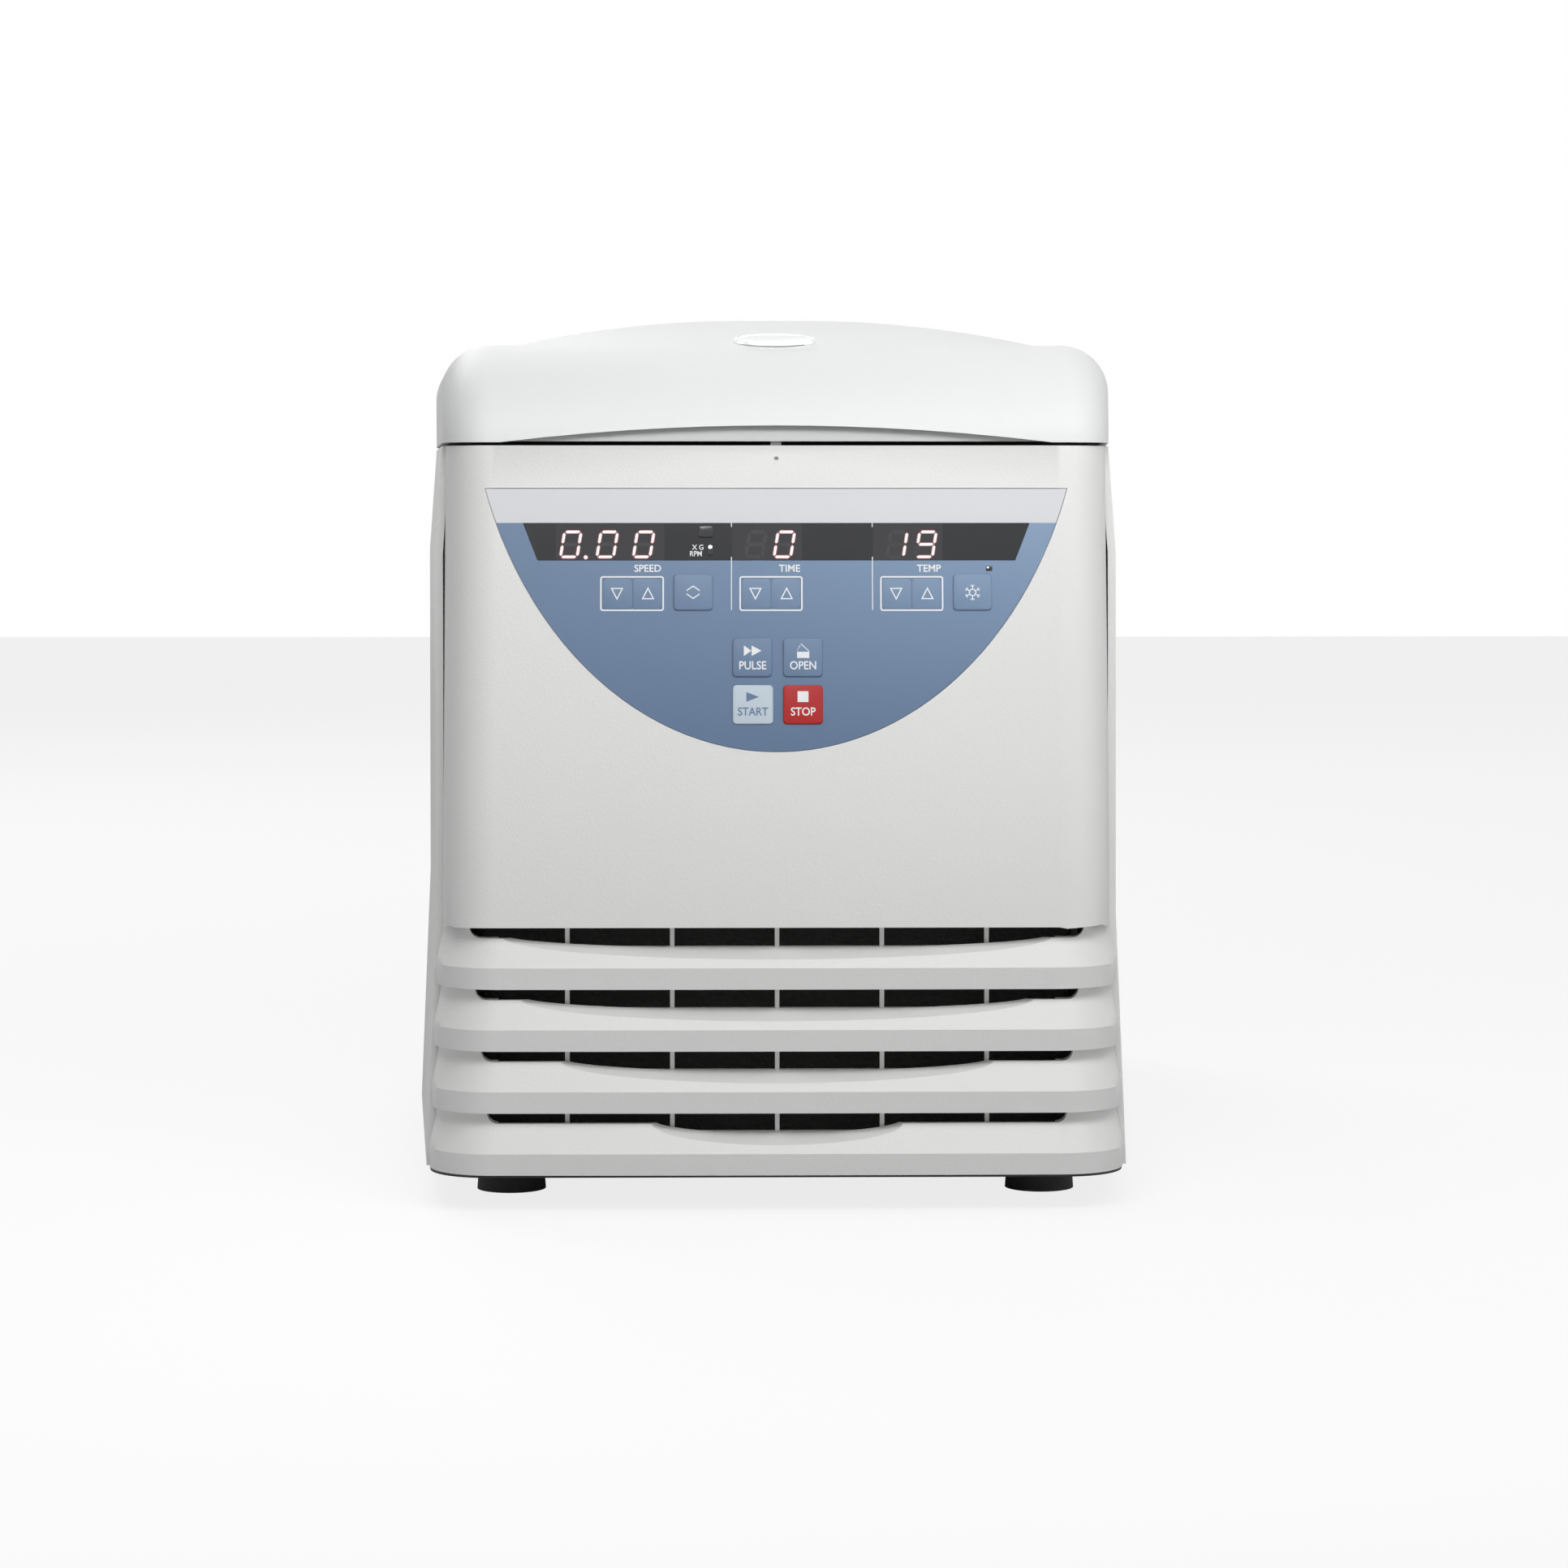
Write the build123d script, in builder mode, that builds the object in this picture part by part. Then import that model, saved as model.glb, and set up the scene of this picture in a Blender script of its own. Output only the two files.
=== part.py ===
"""Refrigerated microcentrifuge: a bench-top cooled centrifuge with a hinged hood and a louvred front."""

from build123d import *
from math import asin, atan2, cos, degrees, pi, radians, sin, sqrt, tan
import os

os.makedirs("parts", exist_ok=True)

# Overall size in millimetres. X runs across, -Y is the front, Z is up.
# The origin is the middle of the footprint on the bench.
overall_width = 292.0
overall_depth = 450.0
front_y = -overall_depth / 2
rear_y = overall_depth / 2

# Casing: heights of the body sections and the half-width of each at the front
wall = 3.0
base_z = 14.0
waist_z = 107.0
shoulder_z = 240.0
seam_z = 280.0
rear_top_z = 304.0
rear_eave_z = 298.0
front_ref_y = -212.0
half_base = 128.7
half_waist = 124.5
half_shoulder = 124.0
half_seam = 121.0
half_rear_top = 119.6
side_flare = overall_width / 2 - half_base
flare_bend = 400.0
rear_corner = 16.0
case_seam_foot_y = -199.0
case_seam_top_y = -166.0
panel_gap = 0.4
fit_gap = 0.3
cut_margin = 0.8
least_corner = 0.5

# Base, feet and rear panel
base_thick = 3.0
base_setback = 2.0
base_inset = 1.5
foot_radius = 13.0
foot_taper = 4.0
foot_x = 100.0
foot_front_inset = 60.0
foot_front_y = front_y + foot_front_inset
foot_rear_inset = 40.0
foot_rear_y = rear_y - foot_rear_inset
rear_panel_thick = 2.0
rear_opening_low_z = 22.0
rear_opening_high_z = 282.0
rear_opening_corner = 6.0
rear_panel_side = 28.0
rear_panel_lap = 6.0
rear_panel_half = overall_width / 2 - rear_panel_side
rear_opening_half = rear_panel_half - rear_panel_lap
rear_panel_top_z = 290.0
vent_x = 0.0
vent_z = 185.0
vent_pitch_x = 92.0
vent_pitch_z = 11.0
vent_rows = 12
vent_length = 80.0
vent_high = 5.0
inlet_x = 70.0
inlet_z = 60.0
inlet_width = 27.0
inlet_high = 20.0
inlet_wall = 2.0
inlet_flange = 11.0
inlet_flange_rise = 3.0
inlet_flange_thick = 2.5
inlet_flange_corner = 4.0
inlet_corner = 3.0
inlet_depth = 22.0
blade_length = 12.0
blade_width = 2.0
blade_high = 4.0
blade_step_x = 7.0
blade_step_z = 4.0
switch_x = 20.0
switch_width = 14.0
switch_high = 22.0
switch_depth = 20.0
switch_rim = 2.0
switch_wall = 1.5
rocker_depth = 11.0
rocker_gap = 1.2
rocker_side_gap = 0.3
pivot_depth = 4.0
pivot_radius = 1.6
pivot_length = 1.0
rocker_proud = 1.0
rocker_heel = 3.0
rocker_swing = 16.0

# Intake filter
filter_y = -196.5
filter_thick = 2.0
filter_half = 108.0

# Front moulding: key face above, four stepped slats below
face_half = 123.2
face_lean = 10.0
face_foot_lean = 4.0
face_foot_z = 104.0
face_bend_z = 160.0
face_foot_y = -216.0
face_bend_y = -209.1
face_wall = 3.4
face_corner = 20.0
slat_count = 4
slat_pitch = 22.5
slat_setback = 1.9
slat_half_low = 128.8
slat_narrowing = 0.9
slat_bow = 1.0
slat_corner = 24.0
slat_toe = 1.2
toe_step = 0.4
crease_rise = 8.0
ledge_rise = 10.6
ledge_depth = 1.6
lip_rise = 18.3
lip_depth = 6.5
brow_depth = 7.5
slat_toe_side = 0.5
ledge_side = 0.6
lip_side = 1.9
brow_side = 2.4
channel_depth = 10.8
slat_skin = 3.0
slot_half_low = 106.3
slot_growth = 2.2
slot_corner = 4.0
scoop_chords = (45.9, 79.2, 94.0, 100.6)
scoop_dip = 5.3
scoop_tilt = 23.5
rib_width = 1.6
rib_pitch = 38.5
rib_count = 5

# Hood
hood_gap = 1.2
hood_flat_z = 318.0
hood_apex_z = 330.0
hood_nose_z = 278.5
hood_sweep = 107.0
hood_crown_y = -81.0
hood_crown_end_y = -20.0
hood_crown_chord = 97.5
hood_round = 18.0
arch_half = 102.0
arch_rise = 6.2
barrel_end = -5.0
blank_barrel_end = -100.0
badge_y = -146.0
badge_half_x = 15.8
badge_half_y = 6.4
bezel_width = 2.0
bezel_seat = 1.2
bezel_proud = 0.8
liner_gap = 0.2
liner_raise = 0.4
liner_rim = 8.4
liner_thick = 2.5
liner_back_y = 76.0
plug_clear = 5.0
plug_depth = 4.0

# Hinge
hinge_y = 104.0
hinge_z = 296.0
hinge_clear = 1.0
pin_radius = 4.0
running_gap = 0.05
bracket_x = 94.0
bracket_thick = 4.0
arm_offset = 4.5
arm_thick = 4.0
boss_radius = 9.0
bracket_foot = 18.0
bracket_foot_long = 16.0
bracket_foot_thick = 3.0
bracket_foot_y = 97.0
bracket_neck = 10.0
arm_reach = 50.0
arm_clear = 1.0
arm_root = 8.0
arm_crest = 10.0

# Chamber, drive and rotor, all about one upright axis
axis_y = -36.0
deck_z = 277.0
deck_thick = 4.0
channel_z = 270.0
bowl_radius = 103.0
plug_radius = bowl_radius - plug_clear
bowl_sheet = 1.2
bowl_floor_z = 186.0
bowl_flange = 9.0
bowl_corner = 10.0
bowl_hub_hole = 8.0
tongue_half = 100.0
deck_step_y = 84.0
gasket_width = 6.0
coil_turns = 6
coil_low_z = 194.0
coil_pitch = 12.0
coil_tube = 5.0
coil_gap = 1.4
coil_apothem = bowl_radius + coil_gap
coil_sides = 12
foam_wall = 18.0
foam_radius = bowl_radius + foam_wall
foam_bore_gap = 10.6
foam_bore = bowl_radius + foam_bore_gap
foam_sides = 24
foam_top_z = 262.0
foam_floor = 10.0
foam_hole = 14.0
shaft_radius = 6.0
shaft_low_z = 104.0
motor_radius = 52.0
motor_low_z = 92.0
motor_high_z = 170.0
motor_chamfer = 6.0
motor_floor = 10.0
rotor_clear = 13.0
rotor_radius = bowl_radius - rotor_clear
rotor_low_z = 200.0
rotor_foot_inset = 20.0
rotor_foot_rise = 12.0
rotor_wall_rise = 32.0
rotor_rim_inset = 14.0
rotor_well_radius = 46.0
tube_count = 24
tube_radius = 5.55
tube_length = 34.0
tube_mouth_radius = 57.0
tube_mouth_z = 238.0
rotor_rim_z = 247.0
tube_tip_radius = 1.4
tube_cone = 4.0
hub_radius = 22.0
hub_top_z = 236.0
nut_radius = 13.0
nut_high = 8.0
shaft_proud = 6.0
lid_disc_thick = 2.5
lid_disc_overlap = 9.0
lid_spigot_gap = 3.5
lid_spigot_width = 2.5
lid_spigot_high = 2.5
lid_cone_rise = 3.0
lid_cone_radius = 22.0
knob_neck_radius = 10.0
knob_neck_rise = 6.0
knob_flare_rise = 8.0
knob_radius = 14.0
knob_high = 16.0
motor_plate_thick = 4.0
damper_high = 10.0
damper_radius = 9.0
motor_post_radius = 6.0
post_spread = 52.0

# Keypad, measured on the leaning face: v runs down from its top edge, w out of it
overlay_half = 114.0
overlay_rise = 147.0
overlay_bottom_v = 114.0
overlay_top_v = 15.9
overlay_recess = 1.5
overlay_thick = 1.2
overlay_gap = 0.25
key_gap = 0.2
key_well = 2.3
key_thick = 1.5
key_proud = 0.2
key_corner = 1.2
key_edge = 0.3
band_top_v = 28.9
band_bottom_v = 42.9
band_half_top = 93.4
band_half_bottom = 88.0

display_high = 11.6
board_w = -11.4
board_thick = 1.6
board_half = 98.0
board_top_v = 24.0
board_bottom_v = 106.0
board_corner = 4.0
board_posts = ((-92, -30), (92, -30), (-50, -98), (50, -98))
post_radius = 3.0
pinhole_v = 4.9
pinhole_radius = 0.8

# Latch: a striker plate on the hood and a sliding bolt under the deck
latch_y = -168.0
latch_slot_half_x = 6.0
latch_slot_half_y = 10.5
striker_half_y = 7.0
striker_thick = 4.0
bolt_radius = 4.0
bolt_z = 266.0
bolt_travel = 10.0
striker_play = 0.6
latch_block_length = 24.0
latch_block_floor = 3.0
latch_block_gap = 1.0
bolt_chamfer = 1.0
bolt_retreat = 1.0

# Refrigeration and electronics
condenser_y = -192.0
condenser_width = 200.0
condenser_high = 78.0
condenser_deep = 22.0
condenser_rim = 4.0
fin_pitch = 9.0
fin_depth = 7.3
fin_count = 21
fan_size = 92.0
fan_corner = 5.0
fan_deep = 25.0
fan_bore = 43.0
fan_hub = 18.0
fan_pin = 2.5
fan_spoke = 5.0
fan_spoke_thick = 3.0
impeller_gap = 2.0
vane_count = 7
vane_pitch = 55.0
vane_chord = 16.0
vane_thick = 1.6
compressor_x = 66.0
compressor_y = 128.0
compressor_radius = 52.0
compressor_high = 120.0
compressor_crown = 18.0
compressor_foot_high = 8.0
compressor_foot_radius = 9.0
compressor_foot_inset = 10.0
compressor_tray = 3.0
compressor_tray_corner = 12.0
pipe_radius = 3.0
pipe_bend = 5.0
pipe_rise = 14.0
pipe_standoff = 11.0
pipe_spread = 14.0
pipe_clear = 12.0
pipe_step = 9.0
pipe_tap_step = 20.0
main_board_side = 28.0
main_board_x = main_board_side - overall_width / 2
main_board_y = 120.0
main_board_long = 150.0
main_board_high = 130.0
main_board_thick = 2.0
board_part_lift = 45.0
board_coil_lift = 100.0
board_part_step = 30.0
board_part_deep = 28.0
board_part_width = 40.0
board_part_high = 50.0
board_coil_deep = 20.0
board_coil_radius = 12.0

# Keys: centre x, centre v, width, height
keys = {
    "key_speed_down": (-58.4, 55.2, 10.4, 11.0),
    "key_speed_up": (-47.6, 55.2, 10.4, 11.0),
    "key_speed_mode": (-30.7, 54.8, 14.0, 13.0),
    "key_time_down": (-7.5, 55.2, 10.4, 11.0),
    "key_time_up": (3.4, 55.2, 10.4, 11.0),
    "key_temp_down": (44.3, 55.2, 10.4, 11.0),
    "key_temp_up": (55.2, 55.2, 10.4, 11.0),
    "key_precool": (72.1, 54.8, 13.8, 13.0),
    "key_pulse": (-9.0, 79.0, 14.1, 13.9),
    "key_open": (9.6, 79.0, 14.1, 13.9),
    "key_start": (-8.8, 96.4, 14.5, 14.1),
    "key_stop": (9.6, 96.4, 14.2, 14.1),
}

# Display windows: left edge, right edge
windows = ((-81.2, -41.3), (-16.5, 9.4), (35.0, 61.2))

flare_rate = side_flare / -front_ref_y
face_plane_top_y = face_bend_y + (seam_z - face_bend_z) * tan(radians(face_lean))
face_plane = Plane(
    origin=(0, face_plane_top_y, seam_z),
    x_dir=(1, 0, 0),
    z_dir=(0, -cos(radians(face_lean)), sin(radians(face_lean))),
)
hood_bottom_z = seam_z + hood_gap
hood_blank_z = channel_z - wall
hood_front_y = hood_crown_y - hood_sweep
hinge_radius = hood_flat_z - hinge_z
slat_back = channel_depth + slat_skin
slat_end_y = case_seam_top_y
deck_low_z = deck_z - deck_thick


def save(shape, name):
    """Labels one finished piece and writes it to its own file."""
    shape.label = name
    export_step(shape, f"parts/{name}.step")


def case_seam_y(z):
    """Y of the joint between the front moulding and the housing at height z."""
    t = (z - base_z) / (seam_z - base_z)
    return case_seam_foot_y + t * (case_seam_top_y - case_seam_foot_y)


def case_outline(half, front, rear, inset=0.0, front_corner=0.0):
    """Plan outline of the body: flared from the front to the middle, straight to the rounded rear corners."""
    front_half = half + (front - front_ref_y) * flare_rate - inset
    rear_half = half + side_flare - inset
    with BuildLine() as outline:
        side = FilletPolyline(
            (0, front),
            (front_half, front),
            (rear_half, 0),
            (rear_half, rear - inset),
            (0, rear - inset),
            radius=(max(front_corner - inset, least_corner), flare_bend, rear_corner - inset),
        )
        mirror(side, about=Plane.YZ)
    make_face(outline.edges())


def case_form(inset):
    """Tapering body as a solid, pulled in by inset at the sides and the rear."""
    sections = (
        (base_z, half_base),
        (waist_z, half_waist),
        (shoulder_z, half_shoulder),
        (seam_z, half_seam),
        (rear_top_z, half_rear_top),
    )
    with BuildPart() as form:
        for z, half in sections:
            with BuildSketch(Plane.XY.offset(z)):
                case_outline(half, front_ref_y, rear_y, inset)
        loft(ruled=True)
    return form.part


def face_profile(inset=0.0):
    """Side outline of the key face in (Y, Z): a leaning plane with an arc that steepens towards the foot."""
    lean = radians(face_lean)
    foot_lean = radians(face_foot_lean)
    mid_lean = (lean + foot_lean) / 2
    top = (face_plane_top_y + inset / cos(lean), seam_z)
    bend = (face_bend_y + inset * cos(lean), face_bend_z - inset * sin(lean))
    foot = (face_foot_y + inset * cos(foot_lean), face_foot_z - inset * sin(foot_lean))
    chord = sqrt((bend[0] - foot[0]) ** 2 + (bend[1] - foot[1]) ** 2)
    bulge = chord / 2 * tan((lean - foot_lean) / 4)
    middle = (
        (bend[0] + foot[0]) / 2 - bulge * cos(mid_lean),
        (bend[1] + foot[1]) / 2 + bulge * sin(mid_lean),
    )
    return top, bend, middle, foot


def face_form(inset, low_z, high_z):
    """Solid behind the key face, with rounded upright corners and a flat back past the housing seam."""
    top, bend, middle, foot = face_profile(inset)
    with BuildPart() as form:
        with BuildSketch(Plane.YZ):
            with BuildLine():
                Line(top, bend)
                ThreePointArc(bend, middle, foot)
                Polyline(
                    foot,
                    (foot[0], base_z),
                    (case_seam_top_y + face_corner, base_z),
                    (case_seam_top_y + face_corner, seam_z),
                    top,
                )
            make_face()
        extrude(amount=face_half - inset, both=True)
        upright = [
            edge
            for edge in form.edges()
            if abs(edge.center().X) > face_half - inset - 0.01
            and abs(edge.tangent_at(0.5).Z) > 0.9
            and edge.center().Y < case_seam_y(edge.center().Z)
        ]
        fillet(upright, radius=face_corner - inset)
        with BuildSketch(Plane.XY.offset(low_z)):
            Rectangle(4 * face_half, 4 * overall_depth)
        extrude(amount=high_z - low_z, mode=Mode.INTERSECT)
    return form.part


def bowed_outline(half, nose_y, back_y, corner):
    """Plan outline of one slat: gently bowed front, round corners, straight sides and a straight back."""
    bow_radius = (half**2 + slat_bow**2) / (2 * slat_bow)
    bow_centre_y = nose_y + bow_radius
    corner_x = half - corner
    corner_y = bow_centre_y - sqrt((bow_radius - corner) ** 2 - corner_x**2)
    reach = bow_radius / (bow_radius - corner)
    touch = (corner_x * reach, bow_centre_y + (corner_y - bow_centre_y) * reach)
    inward = Vector(touch[0] - corner_x, touch[1] - corner_y).normalized()
    knee = Vector(corner_x, corner_y) + (Vector(1, 0) + inward).normalized() * corner
    with BuildLine() as outline:
        Line((-half, back_y), (-half, corner_y))
        ThreePointArc((-half, corner_y), (-knee.X, knee.Y), (-touch[0], touch[1]))
        ThreePointArc((-touch[0], touch[1]), (0, nose_y), touch)
        ThreePointArc(touch, (knee.X, knee.Y), (half, corner_y))
        Polyline((half, corner_y), (half, back_y), (-half, back_y))
    make_face(outline.edges())


def slat_form(index):
    """One bowed louvre slat as a solid: toe, crease, ledge, sloping brow, and a wall up behind the next toe."""
    low = base_z + slat_pitch * index
    half = slat_half_low - slat_narrowing * index
    nose_y = front_y + slat_setback * index
    levels = (
        (0, slat_toe, slat_toe_side),
        (crease_rise, 0, 0),
        (ledge_rise, ledge_depth, ledge_side),
        (lip_rise, lip_depth, lip_side),
        (slat_pitch, brow_depth, brow_side),
    )
    with BuildPart() as form:
        for rise, depth, side in levels:
            with BuildSketch(Plane.XY.offset(low + rise)):
                bowed_outline(half - side, nose_y + depth, slat_end_y, slat_corner)
        loft(ruled=True)
    return form.part


def slat_hollow(index):
    """Room inside one slat: under its sloping shelf, and open behind the shelf."""
    low = base_z + slat_pitch * index
    half = slat_half_low - slat_narrowing * index - brow_side - 1.5 * slat_skin
    nose_y = front_y + slat_setback * index
    toe_back = slat_toe + slat_skin
    toe_top = crease_rise - toe_step
    top = slat_pitch + slat_skin
    slope = tan(radians(scoop_tilt))
    with BuildPart() as hollow:
        with BuildSketch(Plane.XY.offset(low - cut_margin)):
            bowed_outline(half, nose_y + toe_back, slat_end_y + cut_margin, slat_corner)
        extrude(amount=top + cut_margin)
        with BuildSketch(Plane.YZ):
            with BuildLine():
                Polyline(
                    (nose_y, low + slat_skin),
                    (nose_y, low + toe_top - toe_back * slope),
                    (nose_y + slat_back, low + toe_top + (slat_back - toe_back) * slope),
                    (nose_y + slat_back, low + top),
                    (slat_end_y + slat_back, low + top),
                    (slat_end_y + slat_back, low - cut_margin),
                    (nose_y + slat_back - slat_setback, low - cut_margin),
                    (nose_y + slat_back - slat_setback, low + slat_skin),
                    close=True,
                )
            make_face()
        extrude(amount=overall_width, both=True, mode=Mode.INTERSECT)
    return hollow.part


def overlay_outline(shrink):
    """Half-oval outline of the keypad film on the key face: flat above, rounded below."""
    centre_v = overlay_rise - overlay_bottom_v
    top = -overlay_top_v - shrink
    a = overlay_half - shrink
    b = overlay_rise - shrink
    cut = degrees(asin((top - centre_v) / b))
    with BuildLine() as outline:
        arc = EllipticalCenterArc((0, centre_v), a, b, start_angle=180 - cut, arc_size=180 + 2 * cut)
        Line(arc @ 0, arc @ 1)
    make_face(outline.edges())


def key_outline(name, grow):
    """Rounded rectangle of one key on the key face, grown by a gap where it is a hole."""
    x, v, width, height = keys[name]
    with Locations((x, -v)):
        RectangleRounded(width + 2 * grow, height + 2 * grow, key_corner + grow)


def band_outline(shrink):
    """Trapezoid of the dark display strip on the key face."""
    with BuildLine() as outline:
        Polyline(
            (-band_half_top + shrink, -band_top_v - shrink),
            (band_half_top - shrink, -band_top_v - shrink),
            (band_half_bottom - shrink, -band_bottom_v + shrink),
            (-band_half_bottom + shrink, -band_bottom_v + shrink),
            close=True,
        )
    make_face(outline.edges())


def hood_profile(inset, top_z, open_below):
    """Side outline of the hood's blank in (Y, Z): upright nose, swept front, level top, round hinge barrel."""
    barrel = hinge_radius - inset
    height = hood_apex_z - hood_nose_z - inset
    level = hood_flat_z - inset
    rim_angle = radians(barrel_end if open_below else blank_barrel_end)
    rim = (hinge_y + barrel * cos(rim_angle), hinge_z + barrel * sin(rim_angle))
    turn = (pi / 2 + rim_angle) / 2
    start = 180 - degrees(asin(min(1.0, (top_z - hood_nose_z) / height)))
    with BuildLine() as side:
        sweep_arc = EllipticalCenterArc(
            (hood_crown_y, hood_nose_z),
            hood_sweep - inset,
            height,
            start_angle=start,
            arc_size=180 - start,
        )
        Line(sweep_arc @ 1, (hood_front_y + inset, hood_blank_z))
        if open_below:
            reach = 2 * hinge_radius
            Polyline(
                (hood_front_y + inset, hood_blank_z),
                (hinge_y + reach, hood_blank_z),
                (hinge_y + reach, hinge_z + reach * tan(rim_angle)),
                rim,
            )
        else:
            Polyline((hood_front_y + inset, hood_blank_z), (rim[0], hood_blank_z), rim)
        ThreePointArc(rim, (hinge_y + barrel * cos(turn), hinge_z + barrel * sin(turn)), (hinge_y, level))
        if top_z > level:
            drop = top_z - level
            run = hinge_y - hood_crown_end_y
            RadiusArc((hinge_y, level), (hood_crown_end_y, top_z), -(run**2 + drop**2) / (2 * drop))
            Line((hood_crown_end_y, top_z), sweep_arc @ 0)
        else:
            Line((hinge_y, level), sweep_arc @ 0)
    make_face(side.edges())


def hood_body(inset, open_below):
    """Hood without its crown: one rolling round runs up the nose, along each side and round the barrel."""
    with BuildPart() as form:
        with BuildSketch(Plane.XY.offset(hood_blank_z)):
            case_outline(half_seam, front_y, rear_y, inset)
        extrude(amount=hood_apex_z - hood_blank_z)
        with BuildSketch(Plane.YZ):
            hood_profile(inset, hood_flat_z - inset, open_below)
        extrude(amount=overall_width, both=True, mode=Mode.INTERSECT)
        rounds = []
        for edge in form.edges():
            middle = edge.center()
            upright = abs(edge.tangent_at(0.5).Z) > 0.99
            across = abs(edge.tangent_at(0.5).X) > 0.9
            on_side = abs(middle.X) > arch_half and middle.Y < hinge_y + hinge_radius
            at_nose = middle.Y < hood_front_y + inset + cut_margin
            if on_side and middle.Z > hood_blank_z + cut_margin and not across and (at_nose or not upright):
                rounds.append(edge)
        fillet(rounds, radius=hood_round - inset)
    return form.part


def hood_crown(inset, open_below):
    """Low arch that stands on the hood's level top and dies out on its swept front and at the hinge."""
    level = hood_flat_z - inset
    with BuildPart() as form:
        with BuildSketch(Plane.XZ):
            with BuildLine() as arch:
                ThreePointArc(
                    (-hood_crown_chord, level),
                    (0, hood_apex_z - inset),
                    (hood_crown_chord, level),
                )
                Line((hood_crown_chord, level), (-hood_crown_chord, level))
            make_face(arch.edges())
        extrude(amount=overall_depth, both=True)
        with BuildSketch(Plane.YZ):
            hood_profile(inset, hood_apex_z - inset, open_below)
        extrude(amount=overall_width, both=True, mode=Mode.INTERSECT)
    return form.part


def hood_form(inset, open_below=False):
    """Hood as a solid, pulled in by inset, cut level below unless it is left open below."""
    with BuildPart() as form:
        add(hood_body(inset, open_below))
        add(hood_crown(inset, open_below))
        if not open_below:
            barrel = hinge_radius - inset
            rim_drop = hinge_z - hood_bottom_z
            rim = (hinge_y - sqrt(barrel**2 - rim_drop**2), hood_bottom_z)
            last = radians(blank_barrel_end)
            turn = (asin(rim_drop / barrel) - pi + last) / 2
            foot = (hinge_y + barrel * cos(last), hinge_z + barrel * sin(last))
            with BuildSketch(Plane.YZ):
                with BuildLine() as under:
                    Line((front_y, hood_bottom_z), rim)
                    ThreePointArc(rim, (hinge_y + barrel * cos(turn), hinge_z + barrel * sin(turn)), foot)
                    Polyline(
                        foot,
                        (foot[0], hood_blank_z - wall),
                        (front_y, hood_blank_z - wall),
                        (front_y, hood_bottom_z),
                    )
                make_face(under.edges())
            extrude(amount=overall_width, both=True, mode=Mode.SUBTRACT)
    return form.part


def ring(outer, inner, low_z, high_z):
    """Upright ring or disc about the chamber axis."""
    with BuildPart() as body:
        with BuildSketch(Plane.XY.offset(low_z)):
            with Locations((0, axis_y)):
                Circle(outer)
                if inner:
                    Circle(inner, mode=Mode.SUBTRACT)
        extrude(amount=high_z - low_z)
    return body.part


# Housing: sides and raised rear top in one moulding, notched for the round rear end of the hood
notch_radius = hinge_radius + hinge_clear
notch_run = sqrt(notch_radius**2 - (hinge_z - seam_z) ** 2)
rear_top_y = hinge_y + notch_radius
rear_inner_y = rear_y - wall
housing_core = case_form(wall)
with BuildPart() as housing_hollow:
    add(housing_core)
    with BuildSketch(Plane.YZ):
        with BuildLine():
            Polyline(
                (front_y, base_z - wall),
                (rear_y, base_z - wall),
                (rear_y, rear_eave_z - wall),
                (rear_top_y + wall, rear_top_z - wall),
                (rear_top_y + wall, channel_z - deck_thick),
                (rear_top_y, channel_z - deck_thick),
                (rear_top_y, rear_top_z + wall),
                (front_y, rear_top_z + wall),
                close=True,
            )
        make_face()
    extrude(amount=overall_width, both=True, mode=Mode.INTERSECT)

with BuildPart() as housing:
    add(case_form(0))
    add(housing_hollow.part, mode=Mode.SUBTRACT)
    with BuildSketch(Plane.YZ):
        with BuildLine():
            Polyline(
                (case_seam_top_y, seam_z),
                (case_seam_foot_y, base_z),
                (rear_y, base_z),
                (rear_y, rear_eave_z),
                (rear_top_y, rear_top_z),
                (rear_top_y, hinge_z),
            )
            ThreePointArc(
                (rear_top_y, hinge_z),
                (hinge_y, hinge_z - notch_radius),
                (hinge_y - notch_run, seam_z),
            )
            Line((hinge_y - notch_run, seam_z), (case_seam_top_y, seam_z))
        make_face()
    extrude(amount=overall_width, both=True, mode=Mode.INTERSECT)
    with BuildSketch(Plane.XZ.offset(cut_margin - rear_inner_y)):
        with Locations((0, (rear_opening_low_z + rear_opening_high_z) / 2)):
            RectangleRounded(
                2 * rear_opening_half, rear_opening_high_z - rear_opening_low_z, rear_opening_corner
            )
    extrude(amount=-wall - 2 * cut_margin, mode=Mode.SUBTRACT)
save(housing.part, "housing")

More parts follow.
